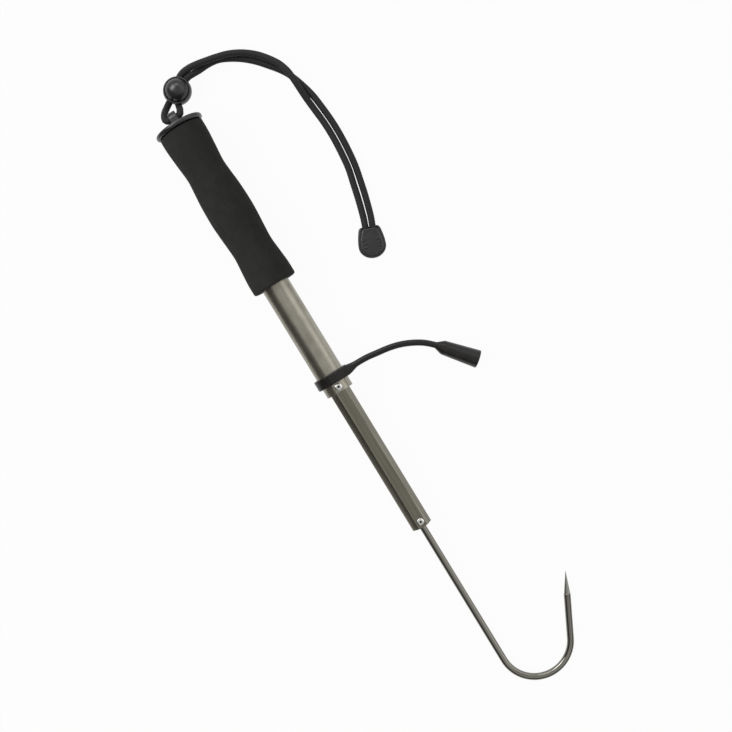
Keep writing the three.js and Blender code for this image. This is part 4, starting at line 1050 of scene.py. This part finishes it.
def makeLockCup():
    # A ball cut off above by its rim and below by its foot, bored for the plunger and holed for the cord
    s = lockSizes
    rimAngle = math.degrees(math.asin(s["rim"] / s["radius"]))
    footAngle = -math.degrees(math.acos(s["foot"] / s["radius"]))
    ball = arcPoints((0, 0), s["radius"], footAngle, rimAngle - 5, 40)
    floor = s["rim"] - s["recess"]
    recess = s["button"] + s["recessGap"]
    inside = filleted(
        [ball[-1], arcPoints((0, 0), s["radius"], rimAngle, rimAngle, 1)[0], (recess, s["rim"]), (recess, floor),
         (s["bore"], floor), (s["bore"], -s["boreDepth"]), (s["well"], -s["boreDepth"]),
         (s["well"], -s["boreDepth"] - s["wellDepth"]), (nearAxis, -s["boreDepth"] - s["wellDepth"])],
        s["cupFillets"])
    profile = np.vstack(([(nearAxis, -footDepth)], ball[:-1], supported(inside, *s["supports"])))
    cup = makePiece("lockCup", [turned(profile, onLock, s["sides"])], mouldedNylon)

    # The hole for the cord: two half rounds joined by flats, carried through the ball and flared to both its ends
    even, flareStart, flareEnd = s["holeParts"]
    flared = np.linspace(flareStart, flareEnd, 12)
    a = np.concatenate((-flared[::-1], np.linspace(-even, even, 9), flared)) * s["radius"]
    flare = np.clip((np.abs(a) - s["straight"]) / (s["radius"] - s["straight"]), 0, s["flareMost"])
    flare = flare[:, None] ** s["holePower"]
    angle = np.concatenate((np.linspace(-90, 90, s["halfRound"]), np.linspace(90, 270, s["halfRound"])))
    shift = np.repeat((1, -1), s["halfRound"]) * s["spacing"] / 2
    wide = shift + s["hole"] * np.cos(np.radians(angle))
    high = s["hole"] * np.sin(np.radians(angle))
    halfWidth = s["spacing"] / 2 + s["hole"]
    rows = onLock(high * (1 + flare * s["rise"] / s["hole"]) - s["holeDrop"], a[:, None],
                  wide * (1 + flare * s["spread"] / halfWidth))
    combine(cup, [makePiece("hole", [closedGrid(rows)], mouldedNylon)], "DIFFERENCE")
    return finishPiece(cup, "cord_lock", "moulded_black", "cord_lock_body")


def makeLockPlunger():
    # A dome over a stem with a slot for the two strands
    s = lockSizes
    base, skirt = s["radius"] - s["button"], s["rim"] - s["skirt"]
    start = math.degrees(math.asin((skirt - base) / s["button"]))
    dome = arcPoints((0, base), s["button"], start + 3, 89, 40)
    lower = filleted(
        [(nearAxis, -s["stemBottom"]), (s["stem"], -s["stemBottom"]), (s["stem"], skirt), (s["button"], skirt),
         dome[0]],
        s["plungerFillets"])
    profile = np.vstack((supported(lower[:-1], *s["supports"]), dome))
    plunger = makePiece("lockPlunger", [turned(profile, onLock, s["sides"])], mouldedNylon)
    cordRadius = cordSizes["radius"]
    halfWide = s["spacing"] / 2 + cordRadius + s["slotGap"]
    low = -s["holeDrop"] - cordRadius - s["slotGap"]
    high = low + 2 * (cordRadius + s["slotGap"]) + s["travel"]
    corners = [(-halfWide, low), (halfWide, low), (halfWide, high), (-halfWide, high)]
    slot = filleted(corners, s["slotCorner"], closed=True)
    ends = np.array((-1, 1))[:, None] * s["slotReach"]
    rows = onLock(slot[:, 1], ends, slot[:, 0])
    combine(plunger, [makePiece("slot", [closedGrid(rows)], mouldedNylon)], "DIFFERENCE")
    return finishPiece(plunger, "plunger", "moulded_black", "cord_lock_button")


def makeLockSpring():
    # Wire wound round the axis: a round section carried along a helix
    s = lockSizes
    t = np.linspace(0, 1, 48 * s["turns"] + 1)
    low, high = s["springFoot"] + s["wire"], s["springTop"] - s["wire"]
    coil = s["well"] - s["slotGap"] - s["wire"]
    turn = tau * s["turns"] * t
    centre = onLock(low + (high - low) * t, coil * np.cos(turn), coil * np.sin(turn))
    _, side, lift = crossAxes(centre)
    angle = np.linspace(0, tau, 12, endpoint=False)[:, None]
    rows = centre[:, None] + s["wire"] * (np.cos(angle) * side[:, None] + np.sin(angle) * lift[:, None])
    spring = makePiece("lockSpring", [closedGrid(rows)], pinSteel)
    finishPiece(spring, "cord_lock", "pin_steel", "cord_lock_spring")
    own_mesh(spring)


makeLockCup()
makeLockPlunger()
makeLockSpring()
print("stage: cord lock")


# Clip on the cord's ends
clipSizes = {
    "length": 28 * mm, "width": 24.2 * mm, "top": 17.9 * mm, "corner": 3.2 * mm, "widest": 0.617,
    "shoulder": 0.284, "swell": 0.562, "base": 4.6 * mm, "lid": 4.4 * mm, "inset": 2.4 * mm, "edge": 1 * mm,
    "gap": 0.3 * mm, "pocket": 15.4 * mm, "mouth": 13.6 * mm, "mouthHeight": 6.7 * mm, "crown": 0.35 * mm,
    "ridge": (1.5 * mm, 4.8 * mm, 0.9 * mm), "pitch": 3.2 * mm, "knot": (9 * mm, 11 * mm, 5.4 * mm),
    "dimple": (0.8 * mm, 0.9 * mm, -9.6 * mm, 0.2 * mm),  # radius, depth, place, nearest to its axis
    "lift": 0.05 * mm, "hollowCorner": 1.5 * mm,
    "ridgePowers": (0.7, 0.4, 0.5),  # for the ridges' ends, their height and their sides
    "knotLumps": (0.07, 3, 2.2), "knotShare": 0.93,  # the lumps' height, number and twist
    "knotYarn": (1 / 3 * mm, 0.4 * mm),
    "place": np.array((168.9, 90.9, 0)) * mm, "way": np.array((0.934, -0.357, 0)),
}
clipWay = unit(clipSizes["way"])
onClip = placer(ground + clipSizes["place"], skyward, clipWay, np.cross(skyward, clipWay))


def bezier(*points):
    # A curve of two or three handles, its last point left to the next curve
    points = np.array(points)
    degree = len(points) - 1
    t = np.linspace(0, 1, 13)[:-1, None]
    return sum(math.comb(degree, k) * (1 - t) ** (degree - k) * t ** k * points[k] for k in range(degree + 1))


def clipOutline(inset):
    # A straight mouth, round corners, swelling sides and half an ellipse, all drawn in by the inset
    s = clipSizes
    start, end = inset - s["length"] / 2, s["length"] / 2 - inset
    top, wide = s["top"] / 2 - inset, s["width"] / 2 - inset
    corner, widest = s["corner"], s["length"] * (s["widest"] - 0.5)
    shoulder, shoulderHalf = start + corner, top + corner * s["shoulder"]
    swell = shoulder + (widest - shoulder) * s["swell"]
    mouth = np.linspace((start, top - corner), (start, corner - top), 8, endpoint=False)
    turn = np.radians(np.linspace(-90, 90, 41)[:-1, None])
    half = [bezier((start, corner - top), (start, -top), (shoulder, -shoulderHalf)),
            bezier((shoulder, -shoulderHalf), (swell, -wide), (widest / 2, -wide), (widest, -wide))]
    ellipse = np.hstack((widest + (end - widest) * np.cos(turn), wide * np.sin(turn)))
    back = [bezier((widest, wide), (widest / 2, wide), (swell, wide), (shoulder, shoulderHalf)),
            bezier((shoulder, shoulderHalf), (start, top), (start, top - corner))]
    return np.vstack([mouth, *half, ellipse, *back])


def clipPlate(inset, bottom, thickness, crown):
    # The outline at one height after another: up the round edge and the side, then drawn together over a crown
    s = clipSizes
    edge = s["edge"]
    low = arcPoints((edge, edge), edge, 270, 180, 6)
    high = arcPoints((edge, thickness - edge), edge, 180, 90, 6)
    side = np.vstack((low, high))
    rows = [np.insert(clipOutline(inset + depth), 2, height, axis=1) for depth, height in side]
    shares = np.array((0.98, 0.9, 0.75, 0.55, 0.35, 0.15, 0.03))
    rows = ([rows[0] * (share, share, 1) for share in shares[::-1]] + rows
            + [rows[-1] * (share, share, 1) + (0, 0, crown * (1 - share ** 2)) for share in shares])
    rows = np.array(rows)
    return closedGrid(onClip(rows[..., 2] + bottom, rows[..., 0], rows[..., 1]))


def clipHollow():
    # A pocket for the knot and a passage for the strands, one rounded section from the pocket's end to the mouth
    s = clipSizes
    wide, high = s["mouth"] / 2, s["mouthHeight"] / 2
    corners = [(-wide, -high), (wide, -high), (wide, high), (-wide, high)]
    section = filleted(corners, s["hollowCorner"], closed=True)
    ends = np.array((-s["length"], s["pocket"] / 2))[:, None]
    return closedGrid(onClip(section[:, 1] + s["base"] + s["gap"] / 2, ends, section[:, 0]))


def makeClip():
    # Two plates, hollowed between them. Each ridge on the lid is an ellipsoid squared off by powers below one
    s = clipSizes
    base = makePiece("clipBase", [clipPlate(0, s["lift"], s["base"] - s["lift"], 0)], mouldedNylon)
    combine(base, [makePiece("hollow", [clipHollow()], mouldedNylon)], "DIFFERENCE")
    lidBottom = s["base"] + s["gap"]
    lid = makePiece("clipLid", [clipPlate(s["inset"], lidBottom, s["lid"], s["crown"])], mouldedNylon)
    around, over = np.linspace(0, tau, 32, endpoint=False), np.radians(np.linspace(-88, 88, 17))[:, None]
    ridgeLength, ridgeWidth, ridgeHeight = s["ridge"]
    endPower, overPower, sidePower = s["ridgePowers"]
    ridgeEnd = ridgeLength / 2 * np.cos(over) * np.sign(np.cos(around)) * np.abs(np.cos(around)) ** endPower
    ridgeSide = ridgeWidth / 2 * np.cos(over) ** overPower * np.sign(np.sin(around))
    ridgeSide = ridgeSide * np.abs(np.sin(around)) ** sidePower
    ridgeTop = lidBottom + s["lid"] + ridgeHeight * np.sin(over) + 0 * around
    middle = s["width"] / 2 - s["inset"] - s["edge"] - ridgeWidth / 2
    ridges = []
    for side in (-1, 1):
        for row in range(3):
            rows = onClip(ridgeTop, ridgeEnd + (row - 0.5) * s["pitch"], side * middle + ridgeSide)
            ridges.append(makePiece("ridge", [closedGrid(rows)], mouldedNylon))
    combine(lid, ridges, "UNION")

    radius, depth, place, near = s["dimple"]
    top = lidBottom + s["lid"] + s["crown"]
    profile = [(near, top - depth), (radius / 2, top - 0.8 * depth), (radius, top + depth), (near, top + depth)]
    dimple = turned(profile, lambda a, p, q: onClip(a, p + place, q), 24)
    combine(lid, [makePiece("hollow", [clipHollow()], mouldedNylon),
                  makePiece("dimple", [dimple], mouldedNylon)], "DIFFERENCE")
    finishPiece(base, "handle", "moulded_black", "cord_end_base")
    finishPiece(lid, "handle", "moulded_black", "cord_end_lid")

    # The knot of both ends: an ellipsoid lumped by the turns that wind round it
    length, width, high = s["knot"]
    lump, lumps, twist = s["knotLumps"]
    swell = (1 + lump * np.sin(lumps * around + twist * over)) * s["knotShare"] * np.cos(over)
    knotRows = onClip(s["base"] + s["gap"] / 2 + high / 2 * np.sin(around) * swell,
                      length / 2 * np.sin(over) + 0 * around, width / 2 * np.cos(around) * swell)
    grid = closedGrid(knotRows)
    yarnAcross, yarnAlong = s["knotYarn"]
    knot = makePiece("cordKnot", [grid], braid, {
        "crown": 0.5 + 0.5 * np.sin(grid[0][:, 0] / yarnAcross), "fibre": grid[0][:, 1] / yarnAlong,
    }, sharpest=180)
    finishPiece(knot, "handle", "braided_cord", "lanyard_knot")
    return [base, lid, knot]


clip = makeClip()
print("stage: clip")

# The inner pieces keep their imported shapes
carriedOver = {
    "mouth_bush": bushAcetal, "hex_stop": bushAcetal, "hook_bush": bushAcetal, "rod_stop": bushAcetal,
    "hex_stop_pin": pinSteel, "rod_stop_pin": pinSteel,
}
for node, material in carriedOver.items():
    frame["nodes"][node].data.materials.clear()
    frame["nodes"][node].data.materials.append(material)


# Studio: a white table, a fill that only lights, three soft boxes that show only in reflections, the broad one at
# the hook's open side, and a dark card opposite, which also shows only in reflections
studio = {
    "white": 0.95, "worldDiffuse": 0.52, "worldSeen": 1.0, "worldGloss": 0.75,
    "key": {"place": (0.0, 1.25, 0.77), "aim": (0, -0.05, 0), "size": (1.8, 0.92), "radiance": 0.74},
    "fill": {"place": (-0.5, -1.1, 0.9), "aim": (-0.1, 0, 0), "size": (1.2, 0.8), "radiance": 2.3},
    "buttSide": {"place": (-1.0, -0.1, 0.85), "aim": (-0.05, 0, 0), "size": (2.2, 0.34), "radiance": 3.6},
    "bendSide": {"place": (-0.7, -0.42, 0.72), "aim": (0.27, -0.02, 0), "size": (0.7, 0.5), "radiance": 3.6},
    "lightOnly": ("fill",), "reflectedOnly": ("key", "buttSide", "bendSide"),
    "table": "#f2f2f2", "tableReach": 3.0, "tableDrop": 0.1 * mm, "cardShade": (0.12, 0.12, 0.114),
    "cardEdge": ((-0.9, -0.15), (-0.02, -0.148), (-0.014, -0.0974), (0.13, -0.088), (0.19, -0.12), (1.4, -0.12)),
    "endCard": np.array([(0.8, -0.35, 0.002), (0.8, 0.9, 0.002), (0.8, 0.9, 0.4), (0.8, -0.35, 0.4)]),
    "card": np.array([(0, 0.001), (-0.18, 0.001), (-0.38, 0.02), (-0.54, 0.2), (-0.6, 0.5), (-0.6, 1.08)]),
}


def seenBy(tree):
    # One for rays from the camera and for reflected and refracted ones, zero for the light that falls on things
    rays = addNode(tree, "ShaderNodeLightPath")
    either = addNode(tree, "ShaderNodeMath", {
        0: (rays, "Is Camera Ray"), 1: (rays, "Is Glossy Ray")}, operation="MAXIMUM")
    return rays, addNode(tree, "ShaderNodeMath", {
        0: (either, 0), 1: (rays, "Is Transmission Ray")}, operation="MAXIMUM")


def makeFloor():
    # Matt white table: seen as plain white, with a share of its own light and shade kept
    material, tree = startMaterial("mattWhiteLaminate")
    _, seen = seenBy(tree)
    paint = addNode(tree, "ShaderNodeBsdfDiffuse", {"Color": hexColour(studio["table"])})
    glow = addNode(tree, "ShaderNodeEmission", {"Color": (1.0, 1.0, 1.0, 1.0), "Strength": 1.0})
    share = addNode(tree, "ShaderNodeMath", {0: (seen, 0), 1: studio["white"]}, operation="MULTIPLY")
    surface = addNode(tree, "ShaderNodeMixShader", {0: (share, 0), 1: (paint, 0), 2: (glow, 0)})
    endMaterial(tree, (surface, 0))
    reach, drop = studio["tableReach"], studio["tableDrop"]
    mesh = bpy.data.meshes.new("table")
    mesh.from_pydata([(x * reach, y * reach, -drop) for x, y in ((-1, -1), (1, -1), (1, 1), (-1, 1))],
                     [], [(0, 1, 2, 3)])
    mesh.materials.append(material)
    floor = bpy.data.objects.new("table", mesh)
    scene.collection.objects.link(floor)


def makeCard():
    # It gives the tubes their dark side: a curved profile set along an edge that bends, and a flat panel at its end
    material, tree = startMaterial("darkCard")
    glow = addNode(tree, "ShaderNodeEmission", {"Color": (*studio["cardShade"], 1.0), "Strength": 1.0})
    endMaterial(tree, (glow, 0))
    profile = smoothCurve(studio["card"], 8)
    x, edge = np.array(studio["cardEdge"]).T
    rows = np.stack(np.broadcast_arrays(x[None, :], edge + profile[:, :1], profile[:, 1:]), -1)
    corner = np.arange(len(profile) - 1)[:, None] * len(x) + np.arange(len(x) - 1)
    faces = np.stack((corner, corner + 1, corner + len(x) + 1, corner + len(x)), -1).reshape(-1, 4).tolist()
    mesh = bpy.data.meshes.new("darkCard")
    end = len(rows) * len(x) + np.arange(4)  # the panel, beyond the hook, which darkens the outside of the bend
    mesh.from_pydata(np.vstack((rows.reshape(-1, 3), studio["endCard"])).tolist(), [], faces + [end.tolist()])
    mesh.materials.append(material)
    card = bpy.data.objects.new("darkCard", mesh)
    for kind in ("camera", "diffuse", "transmission", "volume_scatter", "shadow"):
        setattr(card, "visible_" + kind, False)
    scene.collection.objects.link(card)


def addSoftbox(name):
    # An area lamp's radiance is its power over pi times its area
    box = studio[name]
    data = bpy.data.lights.new(name, "AREA")
    data.shape = "RECTANGLE"
    data.size, data.size_y = box["size"]
    data.energy = box["radiance"] * math.pi * data.size * data.size_y
    lamp = bpy.data.objects.new(name, data)
    lamp.location = box["place"]
    direction = np.array(box["aim"]) - np.array(box["place"])
    level = math.hypot(direction[0], direction[1])
    lamp.rotation_euler = (math.atan2(level, -direction[2]), 0, math.atan2(-direction[0], direction[1]))
    lamp.visible_glossy = name not in studio["lightOnly"]
    lamp.visible_diffuse = name not in studio["reflectedOnly"]
    scene.collection.objects.link(lamp)


def makeWorld():
    world = bpy.data.worlds.new("studio")
    world.use_nodes = True
    tree = world.node_tree
    tree.nodes.clear()
    rays, seen = seenBy(tree)
    gloss = addNode(tree, "ShaderNodeMix", {
        0: (rays, "Is Glossy Ray"), 2: studio["worldSeen"], 3: studio["worldGloss"]})
    strength = addNode(tree, "ShaderNodeMix", {0: (seen, 0), 2: studio["worldDiffuse"], 3: (gloss, 0)})
    sky = addNode(tree, "ShaderNodeBackground", {"Color": (1.0, 1.0, 1.0, 1.0), "Strength": (strength, 0)})
    addNode(tree, "ShaderNodeOutputWorld", {"Surface": (sky, 0)})
    scene.world = world


makeFloor()
makeCard()
for name in ("key", "fill", "buttSide", "bendSide"):
    addSoftbox(name)
makeWorld()
scene.view_settings.view_transform = "Standard"
print("stage: studio")
